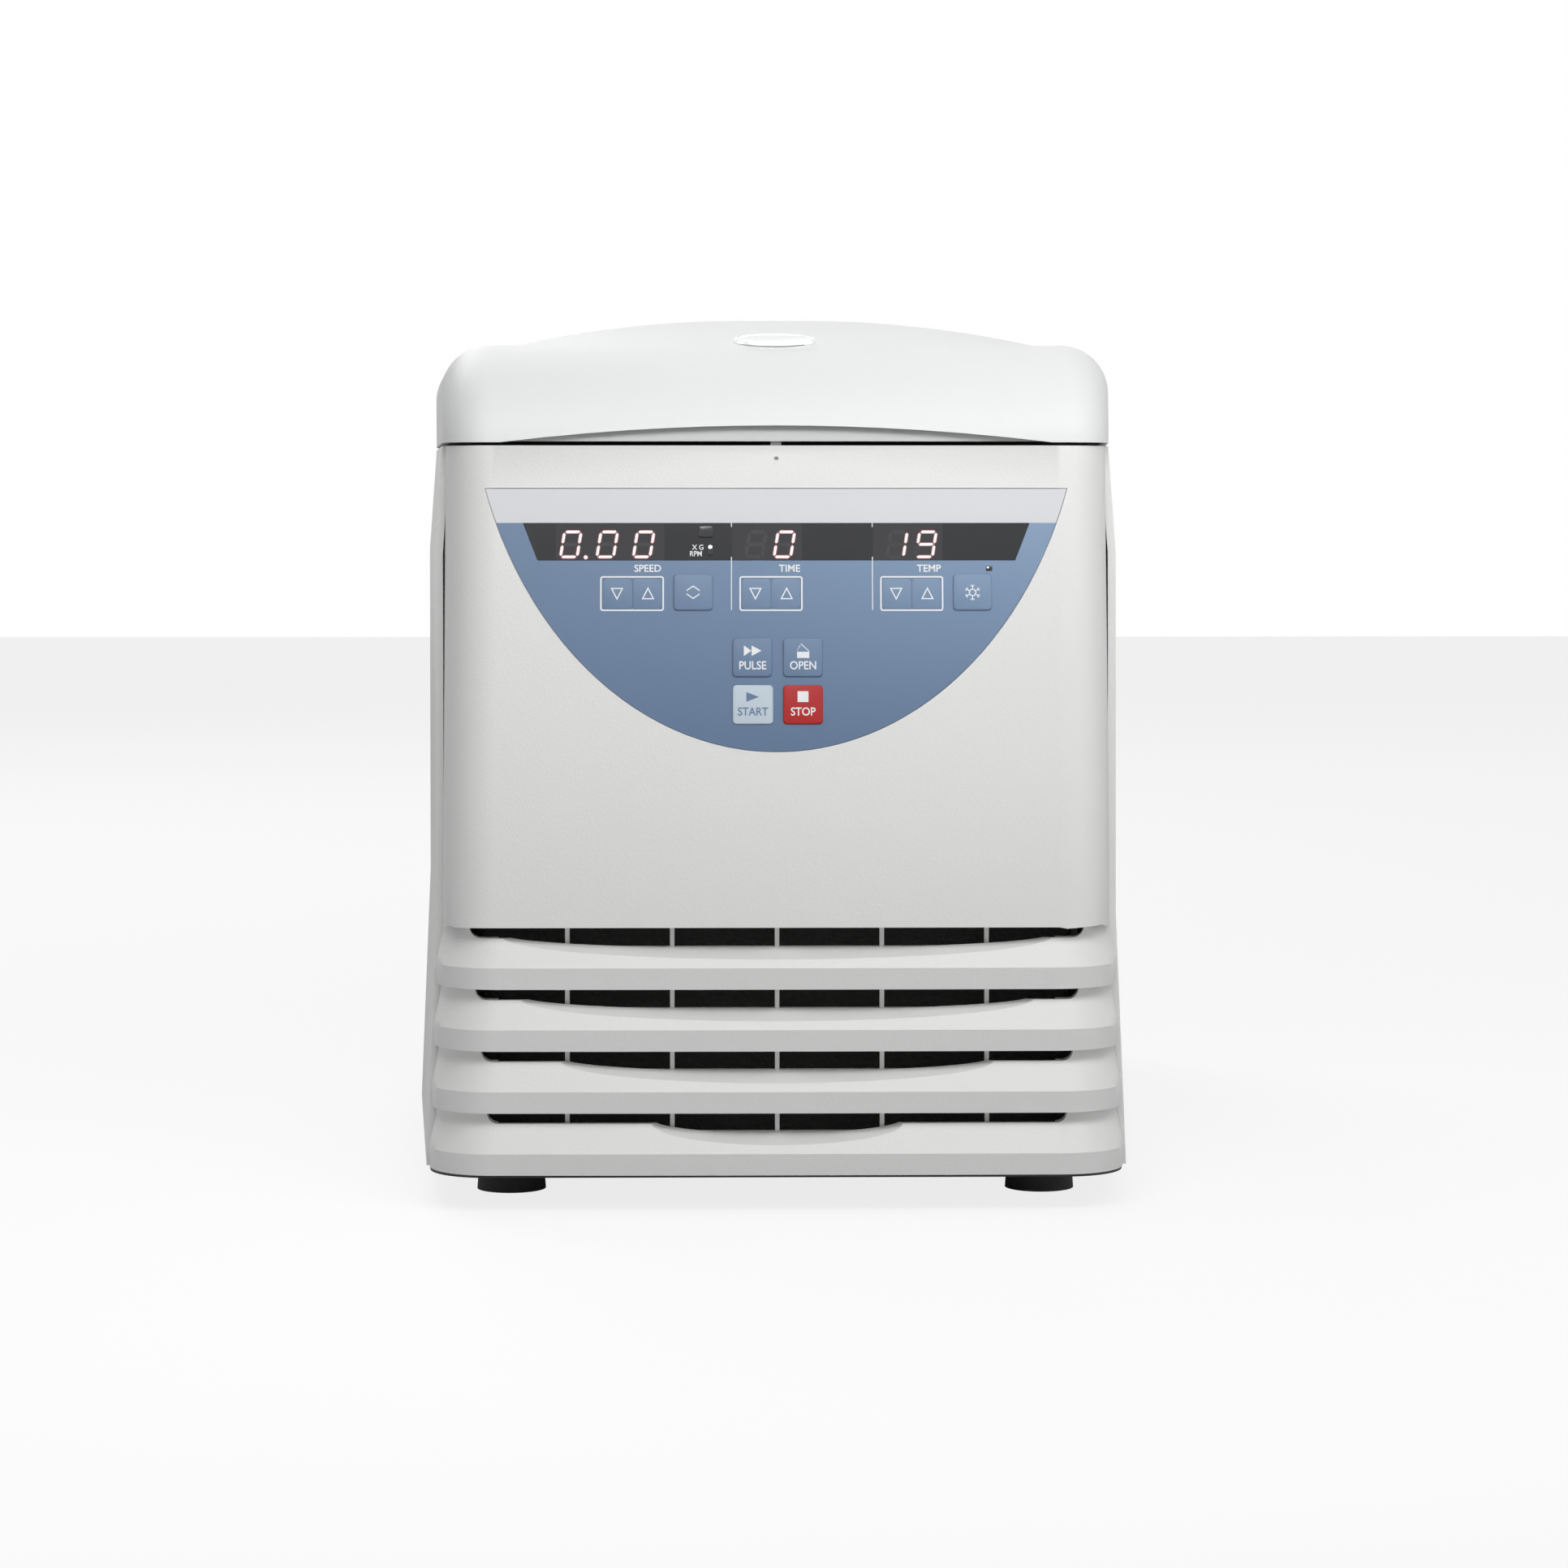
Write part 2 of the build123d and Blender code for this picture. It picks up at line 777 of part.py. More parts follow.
# Front moulding
top_slat_nose = front_y + slat_setback * (slat_count - 1)
shelf_back_y = top_slat_nose + slat_back
with BuildPart() as front_panel:
    add(face_form(0, face_foot_z, seam_z))
    add(face_form(face_wall, face_foot_z + slat_skin, seam_z - slat_skin), mode=Mode.SUBTRACT)
    with BuildSketch(Plane.XY.offset(face_foot_z)):
        with Locations((0, shelf_back_y + overall_depth / 2)):
            Rectangle(2 * (face_half - face_wall), overall_depth)
    extrude(amount=slat_skin, mode=Mode.SUBTRACT)
    for index in range(slat_count):
        add(slat_form(index))
    for index in range(slat_count):
        add(slat_hollow(index), mode=Mode.SUBTRACT)
    with BuildSketch(Plane.YZ):
        with BuildLine():
            Polyline(
                (case_seam_foot_y - panel_gap, base_z),
                (case_seam_top_y - panel_gap, seam_z),
                (0, seam_z),
                (0, base_z),
                close=True,
            )
        make_face()
    extrude(amount=overall_width, both=True, mode=Mode.SUBTRACT)
    for index in range(slat_count):
        low = base_z + slat_pitch * index
        nose_y = front_y + slat_setback * index
        slot_half = slot_half_low + slot_growth * index
        chord = scoop_chords[index]
        tilt = radians(scoop_tilt)
        climb = (channel_depth - lip_depth) * tan(tilt)
        scoop_plane = Plane(
            origin=(0, nose_y + channel_depth, low + lip_rise + climb),
            x_dir=(1, 0, 0),
            z_dir=(0, -cos(tilt), -sin(tilt)),
        )
        with BuildSketch(scoop_plane):
            with BuildLine() as scoop:
                EllipticalCenterArc((0, 0), chord, scoop_dip * cos(tilt), start_angle=180, arc_size=180)
                Polyline((chord, 0), (chord, cut_margin), (-chord, cut_margin), (-chord, 0))
            make_face(scoop.edges())
        extrude(amount=slat_back, mode=Mode.SUBTRACT)
        slot_bottom = low + lip_rise
        slot_top = low + slat_pitch
        with BuildSketch(Plane.XZ.offset(-nose_y - ledge_depth)):
            with BuildLine() as slot:
                Line((slot_half - slot_corner, slot_bottom), (slot_corner - slot_half, slot_bottom))
                RadiusArc(
                    (slot_corner - slot_half, slot_bottom),
                    (-slot_half, slot_bottom + slot_corner),
                    slot_corner,
                )
                Polyline(
                    (-slot_half, slot_bottom + slot_corner),
                    (-slot_half, slot_top),
                    (slot_half, slot_top),
                    (slot_half, slot_bottom + slot_corner),
                )
                RadiusArc(
                    (slot_half, slot_bottom + slot_corner),
                    (slot_half - slot_corner, slot_bottom),
                    slot_corner,
                )
            make_face(slot.edges())
            with BuildLine() as dip:
                EllipticalCenterArc(
                    (0, slot_bottom + climb), chord, scoop_dip, start_angle=180, arc_size=180
                )
                Line((chord, slot_bottom + climb), (-chord, slot_bottom + climb))
            make_face(dip.edges())
        extrude(amount=-(slat_back + slat_corner / 2), mode=Mode.SUBTRACT)
        shelf_z = slot_bottom + climb - scoop_dip
        with BuildSketch(Plane.XY.offset(shelf_z)):
            with Locations((0, nose_y + lip_depth + slat_skin + slat_back / 2)):
                Rectangle(2 * (slot_half_low - slot_corner), slat_back)
        extrude(amount=slot_top - shelf_z, mode=Mode.SUBTRACT)
        with BuildSketch(Plane.XY.offset(shelf_z - slat_skin / 2)):
            with Locations((0, nose_y + channel_depth + slat_skin / 2)):
                with GridLocations(rib_pitch, 1, rib_count, 1):
                    Rectangle(rib_width, slat_skin)
        extrude(amount=slot_top - shelf_z + slat_skin)
    with BuildSketch(face_plane.offset(-overlay_recess)):
        overlay_outline(0)
    extrude(amount=2 * overlay_recess, mode=Mode.SUBTRACT)
    with BuildSketch(face_plane.offset(-key_well)):
        for name in keys:
            key_outline(name, key_gap)
    extrude(amount=key_well, mode=Mode.SUBTRACT)
    with BuildSketch(face_plane.offset(-2 * face_wall)):
        for left, right in windows:
            with Locations(((left + right) / 2, -(band_top_v + band_bottom_v) / 2)):
                Rectangle(right - left + 2 * fit_gap, display_high + 2 * fit_gap)
    extrude(amount=2 * face_wall, mode=Mode.SUBTRACT)
    with BuildSketch(face_plane.offset(-face_wall)):
        with Locations(*board_posts):
            Circle(post_radius)
    extrude(amount=board_w + face_wall)
    with Locations(face_plane):
        with Locations((0, -pinhole_v)):
            Hole(pinhole_radius, depth=face_wall / 2)
    with BuildSketch(Plane.XY.offset(seam_z)):
        with Locations((0, latch_y)):
            Rectangle(2 * latch_slot_half_x, 2 * latch_slot_half_y)
    extrude(amount=-slat_skin, mode=Mode.SUBTRACT)
save(front_panel.part, "front_panel")

# Key film, display lens and keys
with BuildPart() as keypad_overlay:
    with BuildSketch(face_plane.offset(-overlay_recess)):
        overlay_outline(overlay_gap)
        with BuildSketch(mode=Mode.SUBTRACT):
            band_outline(0)
            for name in keys:
                key_outline(name, key_gap)
    extrude(amount=overlay_thick)
save(keypad_overlay.part, "keypad_overlay")

with BuildPart() as display_lens:
    with BuildSketch(face_plane.offset(-overlay_recess)):
        band_outline(overlay_gap / 2)
    extrude(amount=overlay_thick)
save(display_lens.part, "display_lens")

for name in keys:
    with BuildPart() as key:
        with BuildSketch(face_plane.offset(key_proud - key_thick)):
            key_outline(name, 0)
        extrude(amount=key_thick)
        chamfer(key.faces().sort_by(Axis.Y)[0].edges(), length=key_edge)
    save(key.part, name)

# Display modules and their board, carried on posts behind the key face
with BuildPart() as led_displays:
    with BuildSketch(face_plane.offset(board_w)):
        for left, right in windows:
            with Locations(((left + right) / 2, -(band_top_v + band_bottom_v) / 2)):
                Rectangle(right - left, display_high)
    extrude(amount=-board_w - overlay_recess)
save(led_displays.part, "led_displays")

with BuildPart() as display_board:
    with BuildSketch(face_plane.offset(board_w)):
        with Locations((0, -(board_top_v + board_bottom_v) / 2)):
            RectangleRounded(2 * board_half, board_bottom_v - board_top_v, board_corner)
    extrude(amount=-board_thick)
save(display_board.part, "display_board")

# Base plate and feet
with BuildPart() as base_plate:
    with BuildSketch(Plane.XY.offset(base_z)):
        case_outline(half_base, front_ref_y + base_setback, rear_y, base_inset, slat_corner)
    extrude(amount=-base_thick)
save(base_plate.part, "base_plate")

with BuildPart() as feet:
    with BuildSketch():
        with Locations(
            (-foot_x, foot_front_y),
            (foot_x, foot_front_y),
            (-foot_x, foot_rear_y),
            (foot_x, foot_rear_y),
        ):
            Circle(foot_radius)
    extrude(amount=base_z - base_thick, taper=foot_taper)
save(feet.part, "feet")

# Intake filter behind the louvres
with BuildPart() as intake_filter:
    with BuildSketch(Plane.XZ.offset(-filter_y)):
        with Locations((0, (base_z + face_foot_z) / 2)):
            Rectangle(2 * filter_half, face_foot_z - base_z)
    extrude(amount=-filter_thick)
save(intake_filter.part, "intake_filter")

# Rear panel with air slots and cut-outs for the inlet and the switch
with BuildPart() as rear_panel:
    with BuildSketch(Plane.XZ.offset(-rear_inner_y)):
        with Locations((0, (base_z + rear_panel_top_z) / 2)):
            Rectangle(2 * rear_panel_half, rear_panel_top_z - base_z)
        with Locations((vent_x, vent_z)):
            with GridLocations(vent_pitch_x, vent_pitch_z, 2, vent_rows):
                SlotOverall(vent_length, vent_high, mode=Mode.SUBTRACT)
        with Locations((inlet_x, inlet_z)):
            Rectangle(inlet_width + 2 * fit_gap, inlet_high + 2 * fit_gap, mode=Mode.SUBTRACT)
        with Locations((switch_x, inlet_z)):
            Rectangle(switch_width + 2 * fit_gap, switch_high + 2 * fit_gap, mode=Mode.SUBTRACT)
    extrude(amount=rear_panel_thick)
save(rear_panel.part, "rear_panel")

# Mains inlet: flanged socket with three blades, no cord
with BuildPart() as mains_inlet:
    with BuildSketch(Plane.XZ.offset(-rear_inner_y)):
        with Locations((inlet_x, inlet_z)):
            RectangleRounded(
                inlet_width + 2 * inlet_flange, inlet_high + 2 * inlet_flange_rise, inlet_flange_corner
            )
    extrude(amount=-inlet_flange_thick)
    with BuildSketch(Plane.XZ.offset(-rear_inner_y)):
        with Locations((inlet_x, inlet_z)):
            Rectangle(inlet_width, inlet_high)
    extrude(amount=inlet_depth)
    with BuildSketch(Plane.XZ.offset(-rear_inner_y - inlet_flange_thick)):
        with Locations((inlet_x, inlet_z)):
            RectangleRounded(inlet_width - 2 * inlet_wall, inlet_high - 2 * inlet_wall, inlet_corner)
    extrude(amount=inlet_depth, mode=Mode.SUBTRACT)
    with BuildSketch(Plane.XZ.offset(-rear_inner_y + inlet_depth - inlet_flange_thick)):
        with Locations(
            (inlet_x - blade_step_x, inlet_z - blade_step_z / 2),
            (inlet_x, inlet_z + blade_step_z / 2),
            (inlet_x + blade_step_x, inlet_z - blade_step_z / 2),
        ):
            Rectangle(blade_width, blade_high)
    extrude(amount=-blade_length)
save(mains_inlet.part, "mains_inlet")

# Power switch: fixed bezel and a rocker on a cross axis
pivot_y = rear_inner_y - pivot_depth
with BuildPart() as switch_body:
    with BuildSketch(Plane.XZ.offset(-rear_inner_y)):
        with Locations((switch_x, inlet_z)):
            RectangleRounded(switch_width + 2 * switch_rim, switch_high + 2 * switch_rim, switch_rim)
    extrude(amount=-switch_rim)
    with BuildSketch(Plane.XZ.offset(-rear_inner_y)):
        with Locations((switch_x, inlet_z)):
            Rectangle(switch_width, switch_high)
    extrude(amount=switch_depth)
    with BuildSketch(Plane.XZ.offset(-rear_inner_y - switch_rim)):
        with Locations((switch_x, inlet_z)):
            Rectangle(switch_width - 2 * switch_wall, switch_high - 2 * switch_wall)
    extrude(amount=rocker_depth + switch_rim, mode=Mode.SUBTRACT)
    with BuildSketch(Plane.YZ.offset(switch_x)):
        with Locations((pivot_y, inlet_z)):
            Circle(pivot_radius + running_gap)
    extrude(amount=switch_width / 2 - switch_wall + pivot_length, both=True, mode=Mode.SUBTRACT)
save(switch_body.part, "switch_body")

rocker_half_x = switch_width / 2 - switch_wall - rocker_side_gap
rocker_half_z = switch_high / 2 - switch_wall - rocker_gap
rocker_heel_y = pivot_y - pivot_radius - rocker_side_gap
rocker_tilt = rocker_swing / 2
with BuildPart() as power_rocker:
    with BuildSketch(Plane.YZ.offset(switch_x)):
        with BuildLine():
            Polyline(
                (rear_inner_y - rocker_proud, inlet_z + rocker_half_z),
                (rear_inner_y + rocker_proud, inlet_z + rocker_half_z),
                (rear_inner_y, inlet_z),
                (rear_inner_y + rocker_proud, inlet_z - rocker_half_z),
                (rear_inner_y - rocker_proud, inlet_z - rocker_half_z),
                (rocker_heel_y, inlet_z - rocker_heel),
                (rocker_heel_y, inlet_z + rocker_heel),
                close=True,
            )
        make_face()
    extrude(amount=rocker_half_x, both=True)
    with BuildSketch(Plane.YZ.offset(switch_x)):
        with Locations((pivot_y, inlet_z)):
            Circle(pivot_radius)
    extrude(amount=rocker_half_x + pivot_length, both=True)
power_rocker_tilted = power_rocker.part.rotate(Axis((switch_x, pivot_y, inlet_z), (1, 0, 0)), -rocker_tilt)
save(power_rocker_tilted, "power_rocker")

# Hood: thin moulding with a shallow arch in its front edge and an oval port near the crown
badge_slope = asin((hood_crown_y - badge_y) / hood_sweep)
hood_height = hood_apex_z - hood_nose_z
badge_z = hood_nose_z + hood_height * cos(badge_slope)
badge_tilt = atan2(hood_height * sin(badge_slope), hood_sweep * cos(badge_slope))
badge_plane = Plane(
    origin=(0, badge_y, badge_z),
    x_dir=(1, 0, 0),
    z_dir=(0, -sin(badge_tilt), cos(badge_tilt)),
)
hood_inner = hood_form(wall, open_below=True)
with BuildPart() as lid_shell:
    add(hood_form(0))
    add(hood_inner, mode=Mode.SUBTRACT)
    with BuildSketch(Plane.XZ.offset(-front_ref_y)):
        with BuildLine():
            ThreePointArc(
                (-arch_half, hood_bottom_z),
                (0, hood_bottom_z + arch_rise),
                (arch_half, hood_bottom_z),
            )
            Polyline(
                (-arch_half, hood_bottom_z),
                (-arch_half, channel_z),
                (arch_half, channel_z),
                (arch_half, hood_bottom_z),
            )
        make_face()
    extrude(amount=-(hood_crown_y - hood_sweep - front_ref_y + 3 * wall), mode=Mode.SUBTRACT)
    with BuildSketch(badge_plane.offset(-bezel_seat)):
        Ellipse(badge_half_x, badge_half_y)
    extrude(amount=2 * wall, mode=Mode.SUBTRACT)
    with BuildSketch(badge_plane.offset(-2 * wall)):
        Ellipse(badge_half_x - bezel_width / 2, badge_half_y - bezel_width / 2)
    extrude(amount=4 * wall, mode=Mode.SUBTRACT)
save(lid_shell.part, "lid_shell")

# Liner: a tray that closes the underside of the hood, with a round plug that drops into the chamber mouth
liner_low_z = hood_bottom_z + liner_raise
with BuildPart() as liner_pocket:
    add(hood_form(wall + liner_gap + liner_thick, open_below=True))
    with BuildSketch(Plane.XY.offset(liner_low_z + liner_thick)):
        with Locations((0, liner_back_y - liner_thick - overall_depth / 2)):
            Rectangle(2 * overall_width, overall_depth)
    extrude(amount=2 * liner_rim, mode=Mode.INTERSECT)

with BuildPart() as lid_liner:
    add(hood_form(wall + liner_gap, open_below=True))
    with BuildSketch(Plane.XY.offset(liner_low_z)):
        with Locations((0, liner_back_y - overall_depth / 2)):
            Rectangle(2 * overall_width, overall_depth)
    extrude(amount=liner_rim, mode=Mode.INTERSECT)
    add(liner_pocket.part, mode=Mode.SUBTRACT)
    with BuildSketch(Plane.XY.offset(liner_low_z)):
        with Locations((0, axis_y)):
            Circle(plug_radius)
    extrude(amount=-plug_depth)
save(lid_liner.part, "lid_liner")

# Oval port: bright bezel and a clear lens
with BuildPart() as lid_bezel:
    with BuildSketch(badge_plane.offset(-bezel_seat)):
        Ellipse(badge_half_x, badge_half_y)
        Ellipse(badge_half_x - bezel_width, badge_half_y - bezel_width, mode=Mode.SUBTRACT)
    extrude(amount=bezel_seat + bezel_proud)
save(lid_bezel.part, "lid_bezel")

with BuildPart() as lid_lens:
    with BuildSketch(badge_plane.offset(-bezel_seat)):
        Ellipse(badge_half_x - bezel_width, badge_half_y - bezel_width)
    extrude(amount=bezel_seat)
save(lid_lens.part, "lid_lens")

# Striker plate under the hood's front edge, with a square eye for the bolt
with BuildPart() as lid_striker:
    with BuildSketch(Plane.YZ.offset(-striker_thick / 2)):
        with Locations((latch_y, (bolt_z + liner_low_z) / 2 - striker_half_y / 2)):
            Rectangle(2 * striker_half_y, liner_low_z - bolt_z + striker_half_y)
        with Locations((latch_y, bolt_z)):
            eye = 2 * (bolt_radius + striker_play)
            Rectangle(eye, eye, mode=Mode.SUBTRACT)
    extrude(amount=striker_thick)
save(lid_striker.part, "lid_striker")

# Hinge: brackets on the deck channel, pins in them, arms on the hood that turn on the pins
with BuildPart() as hinge_brackets:
    for side in (-1, 1):
        with BuildSketch(Plane.YZ.offset(side * bracket_x - bracket_thick / 2)):
            with Locations((hinge_y, hinge_z)):
                Circle(boss_radius)
            with BuildLine() as neck:
                Polyline(
                    (bracket_foot_y - bracket_neck / 2, channel_z),
                    (bracket_foot_y + bracket_neck / 2, channel_z),
                    (hinge_y + pin_radius, hinge_z),
                    (hinge_y - boss_radius, hinge_z),
                    close=True,
                )
            make_face(neck.edges())
            with Locations((hinge_y, hinge_z)):
                Circle(pin_radius, mode=Mode.SUBTRACT)
        extrude(amount=bracket_thick)
        with BuildSketch(Plane.XY.offset(channel_z)):
            with Locations((side * (bracket_x - bracket_foot / 2), bracket_foot_y)):
                Rectangle(bracket_foot + bracket_thick, bracket_foot_long)
        extrude(amount=bracket_foot_thick)
save(hinge_brackets.part, "hinge_brackets")

with BuildPart() as hinge_pins:
    for side in (-1, 1):
        inner_x = min(side * (bracket_x - bracket_thick), side * (bracket_x + arm_offset + arm_thick))
        with BuildSketch(Plane.YZ.offset(inner_x)):
            with Locations((hinge_y, hinge_z)):
                Circle(pin_radius)
        extrude(amount=arm_offset + arm_thick + bracket_thick)
save(hinge_pins.part, "hinge_pins")

arm_floor_z = liner_low_z + liner_thick
arm_front_y = liner_back_y - arm_reach
arm_rest_y = liner_back_y - liner_thick - arm_clear
with BuildPart() as hinge_arms:
    for side in (-1, 1):
        with BuildSketch(Plane.YZ.offset(side * (bracket_x + arm_offset) - arm_thick / 2)):
            with BuildLine() as arm:
                Polyline(
                    (arm_front_y, arm_floor_z),
                    (arm_rest_y, arm_floor_z),
                    (arm_rest_y, liner_low_z + liner_rim + arm_clear),
                    (hinge_y, hinge_z - boss_radius),
                    (hinge_y, hinge_z + boss_radius),
                    (liner_back_y - arm_crest, hinge_z + boss_radius),
                    (arm_front_y, arm_floor_z + arm_root),
                    close=True,
                )
            make_face(arm.edges())
            with Locations((hinge_y, hinge_z)):
                Circle(boss_radius)
                Circle(pin_radius + running_gap, mode=Mode.SUBTRACT)
        extrude(amount=arm_thick)
save(hinge_arms.part, "hinge_arms")

# Deck under the hood: main plate round the chamber mouth, a step, and a lower channel for the hinge
deck_half = half_seam + (half_shoulder - half_seam) * (seam_z - deck_z) / (seam_z - shoulder_z)
face_deck_y = face_plane_top_y - (seam_z - deck_z) * tan(radians(face_lean))
face_inner_y = face_deck_y + face_wall / cos(radians(face_lean))
with BuildPart() as top_deck:
    with BuildSketch(Plane.XY.offset(deck_low_z)) as deck_plan:
        case_outline(deck_half, case_seam_top_y, rear_y, wall + running_gap)
        with Locations((0, deck_step_y + overall_depth / 2)):
            Rectangle(2 * overall_width, overall_depth, mode=Mode.SUBTRACT)
        with Locations((0, (face_inner_y + case_seam_top_y) / 2)):
            Rectangle(2 * tongue_half, case_seam_top_y - face_inner_y)
        with Locations((0, axis_y)):
            Circle(bowl_radius + bowl_sheet, mode=Mode.SUBTRACT)
        with Locations((0, latch_y)):
            Rectangle(2 * latch_slot_half_x, 2 * latch_slot_half_y, mode=Mode.SUBTRACT)
    extrude(amount=deck_thick)
    with BuildSketch(Plane.XY.offset(channel_z - deck_thick)):
        case_outline(deck_half, case_seam_top_y, rear_y, wall + running_gap)
        with Locations((0, deck_step_y - wall - overall_depth / 2)):
            Rectangle(2 * overall_width, overall_depth, mode=Mode.SUBTRACT)
        with Locations((0, rear_top_y + overall_depth / 2)):
            Rectangle(2 * overall_width, overall_depth, mode=Mode.SUBTRACT)
    extrude(amount=deck_thick)
    with BuildSketch(Plane.XY.offset(channel_z - deck_thick)):
        case_outline(deck_half, case_seam_top_y, rear_y, wall + running_gap)
        with Locations((0, deck_step_y - wall - overall_depth / 2)):
            Rectangle(2 * overall_width, overall_depth, mode=Mode.SUBTRACT)
        with Locations((0, deck_step_y + overall_depth / 2)):
            Rectangle(2 * overall_width, overall_depth, mode=Mode.SUBTRACT)
    extrude(amount=deck_z - channel_z + deck_thick)
save(top_deck.part, "top_deck")

# Chamber: a spun bowl hanging in the deck by its flange
with BuildPart() as chamber_bowl:
    with BuildSketch(Plane.XZ.offset(-axis_y)):
        with BuildLine():
            Polyline(
                (bowl_hub_hole, bowl_floor_z),
                (bowl_radius - bowl_corner, bowl_floor_z),
            )
            RadiusArc(
                (bowl_radius - bowl_corner, bowl_floor_z),
                (bowl_radius, bowl_floor_z + bowl_corner),
                -bowl_corner,
            )
            Polyline(
                (bowl_radius, bowl_floor_z + bowl_corner),
                (bowl_radius, deck_z + bowl_sheet),
                (bowl_radius + bowl_flange, deck_z + bowl_sheet),
                (bowl_radius + bowl_flange, deck_z),
                (bowl_radius + bowl_sheet, deck_z),
                (bowl_radius + bowl_sheet, bowl_floor_z + bowl_corner),
            )
            RadiusArc(
                (bowl_radius + bowl_sheet, bowl_floor_z + bowl_corner),
                (bowl_radius - bowl_corner, bowl_floor_z - bowl_sheet),
                bowl_corner + bowl_sheet,
            )
            Polyline(
                (bowl_radius - bowl_corner, bowl_floor_z - bowl_sheet),
                (bowl_hub_hole, bowl_floor_z - bowl_sheet),
                (bowl_hub_hole, bowl_floor_z),
            )
        make_face()
    revolve(axis=Axis((0, axis_y, 0), (0, 0, 1)))
save(chamber_bowl.part, "chamber_bowl")

gasket_outer = bowl_radius + bowl_flange - 1
save(
    ring(gasket_outer, gasket_outer - gasket_width, deck_z + bowl_sheet, liner_low_z),
    "chamber_gasket",
)

# Cooling coil: flat-sided turns of square tube round the bowl, joined by one riser
with BuildPart() as evaporator_coil:
    for turn in range(coil_turns):
        with BuildSketch(Plane.XY.offset(coil_low_z + turn * coil_pitch)):
            with Locations((0, axis_y)):
                RegularPolygon(coil_apothem + coil_tube, coil_sides, major_radius=False)
                RegularPolygon(coil_apothem, coil_sides, major_radius=False, mode=Mode.SUBTRACT)
        extrude(amount=coil_tube)
    with BuildSketch(Plane.XY.offset(coil_low_z)):
        with Locations((0, axis_y + coil_apothem + coil_tube / 2)):
            Rectangle(2 * coil_tube, coil_tube)
    extrude(amount=coil_pitch * (coil_turns - 1) + coil_tube)
save(evaporator_coil.part, "evaporator_coil")

with BuildPart() as insulation:
    with BuildSketch(Plane.XY.offset(bowl_floor_z - bowl_sheet - foam_floor)):
        with Locations((0, axis_y)):
            RegularPolygon(foam_radius, foam_sides, major_radius=False)
    extrude(amount=foam_top_z - bowl_floor_z + bowl_sheet + foam_floor)
    with BuildSketch(Plane.XY.offset(bowl_floor_z - bowl_sheet)):
        with Locations((0, axis_y)):
            RegularPolygon(foam_bore, foam_sides, major_radius=False)
    extrude(amount=overall_depth, mode=Mode.SUBTRACT)
    with Locations((0, axis_y, bowl_floor_z)):
        Hole(foam_hole)
save(insulation.part, "insulation")

# Drive: motor on a plate over four rubber dampers and posts
motor_plate_z = motor_low_z - motor_plate_thick
motor_plate_width = 2 * (post_spread + damper_radius)
post_points = [
    (x * post_spread, axis_y + y * post_spread)
    for x in (-1, 1)
    for y in (-1, 1)
]
with BuildPart() as motor_posts:
    with BuildSketch(Plane.XY.offset(base_z)):
        with Locations(*post_points):
            Circle(motor_post_radius)
    extrude(amount=motor_plate_z - damper_high - base_z)
save(motor_posts.part, "motor_posts")

with BuildPart() as motor_dampers:
    with BuildSketch(Plane.XY.offset(motor_plate_z - damper_high)):
        with Locations(*post_points):
            Circle(damper_radius)
    extrude(amount=damper_high)
save(motor_dampers.part, "motor_dampers")

with BuildPart() as motor_plate:
    with BuildSketch(Plane.XY.offset(motor_plate_z)):
        with Locations((0, axis_y)):
            RectangleRounded(motor_plate_width, motor_plate_width, damper_radius)
    extrude(amount=motor_plate_thick)
save(motor_plate.part, "motor_plate")

with BuildPart() as motor:
    with BuildSketch(Plane.XY.offset(motor_low_z)):
        with Locations((0, axis_y)):
            Circle(motor_radius)
    extrude(amount=motor_high_z - motor_low_z)
    chamfer(motor.edges().group_by(Axis.Z)[-1], length=motor_chamfer)
    with Locations((0, axis_y, motor_high_z)):
        Hole(shaft_radius + running_gap, depth=motor_high_z - motor_low_z - motor_floor)
save(motor.part, "motor")

# Spinning group: shaft, rotor with its ring of slanted tube holes, and clamp nut
with BuildPart() as motor_shaft:
    with BuildSketch(Plane.XY.offset(shaft_low_z)):
        with Locations((0, axis_y)):
            Circle(shaft_radius)
    extrude(amount=hub_top_z + shaft_proud - shaft_low_z)
save(motor_shaft.part, "motor_shaft")

rim_inner = tube_mouth_radius + rotor_rim_z - tube_mouth_z
well_z = tube_mouth_z - tube_mouth_radius + rotor_well_radius
tube_plane = Plane(
    origin=(tube_mouth_radius, 0, tube_mouth_z),
    x_dir=(0, 1, 0),
    z_dir=(-1, 0, 1),
)
with BuildPart() as tube_bore:
    with BuildSketch(tube_plane.offset(cut_margin)):
        Circle(tube_radius)
    extrude(amount=tube_cone - tube_length - cut_margin)
    with BuildSketch(tube_plane.offset(tube_cone - tube_length)):
        Circle(tube_radius)
    with BuildSketch(tube_plane.offset(-tube_length)):
        Circle(tube_tip_radius)
    loft()

with BuildPart() as rotor:
    with BuildSketch(Plane.XZ.offset(-axis_y)):
        with BuildLine():
            Polyline(
                (shaft_radius, rotor_low_z),
                (rotor_radius - rotor_foot_inset, rotor_low_z),
                (rotor_radius, rotor_low_z + rotor_foot_rise),
                (rotor_radius, rotor_low_z + rotor_wall_rise),
                (rotor_radius - rotor_rim_inset, rotor_rim_z),
                (rim_inner, rotor_rim_z),
                (rotor_well_radius, well_z),
                (hub_radius, well_z),
                (hub_radius, hub_top_z),
                (shaft_radius, hub_top_z),
                close=True,
            )
        make_face()
    revolve(axis=Axis((0, axis_y, 0), (0, 0, 1)))
    with Locations((0, axis_y)):
        with PolarLocations(0, tube_count):
            add(tube_bore.part, mode=Mode.SUBTRACT)
save(rotor.part, "rotor")

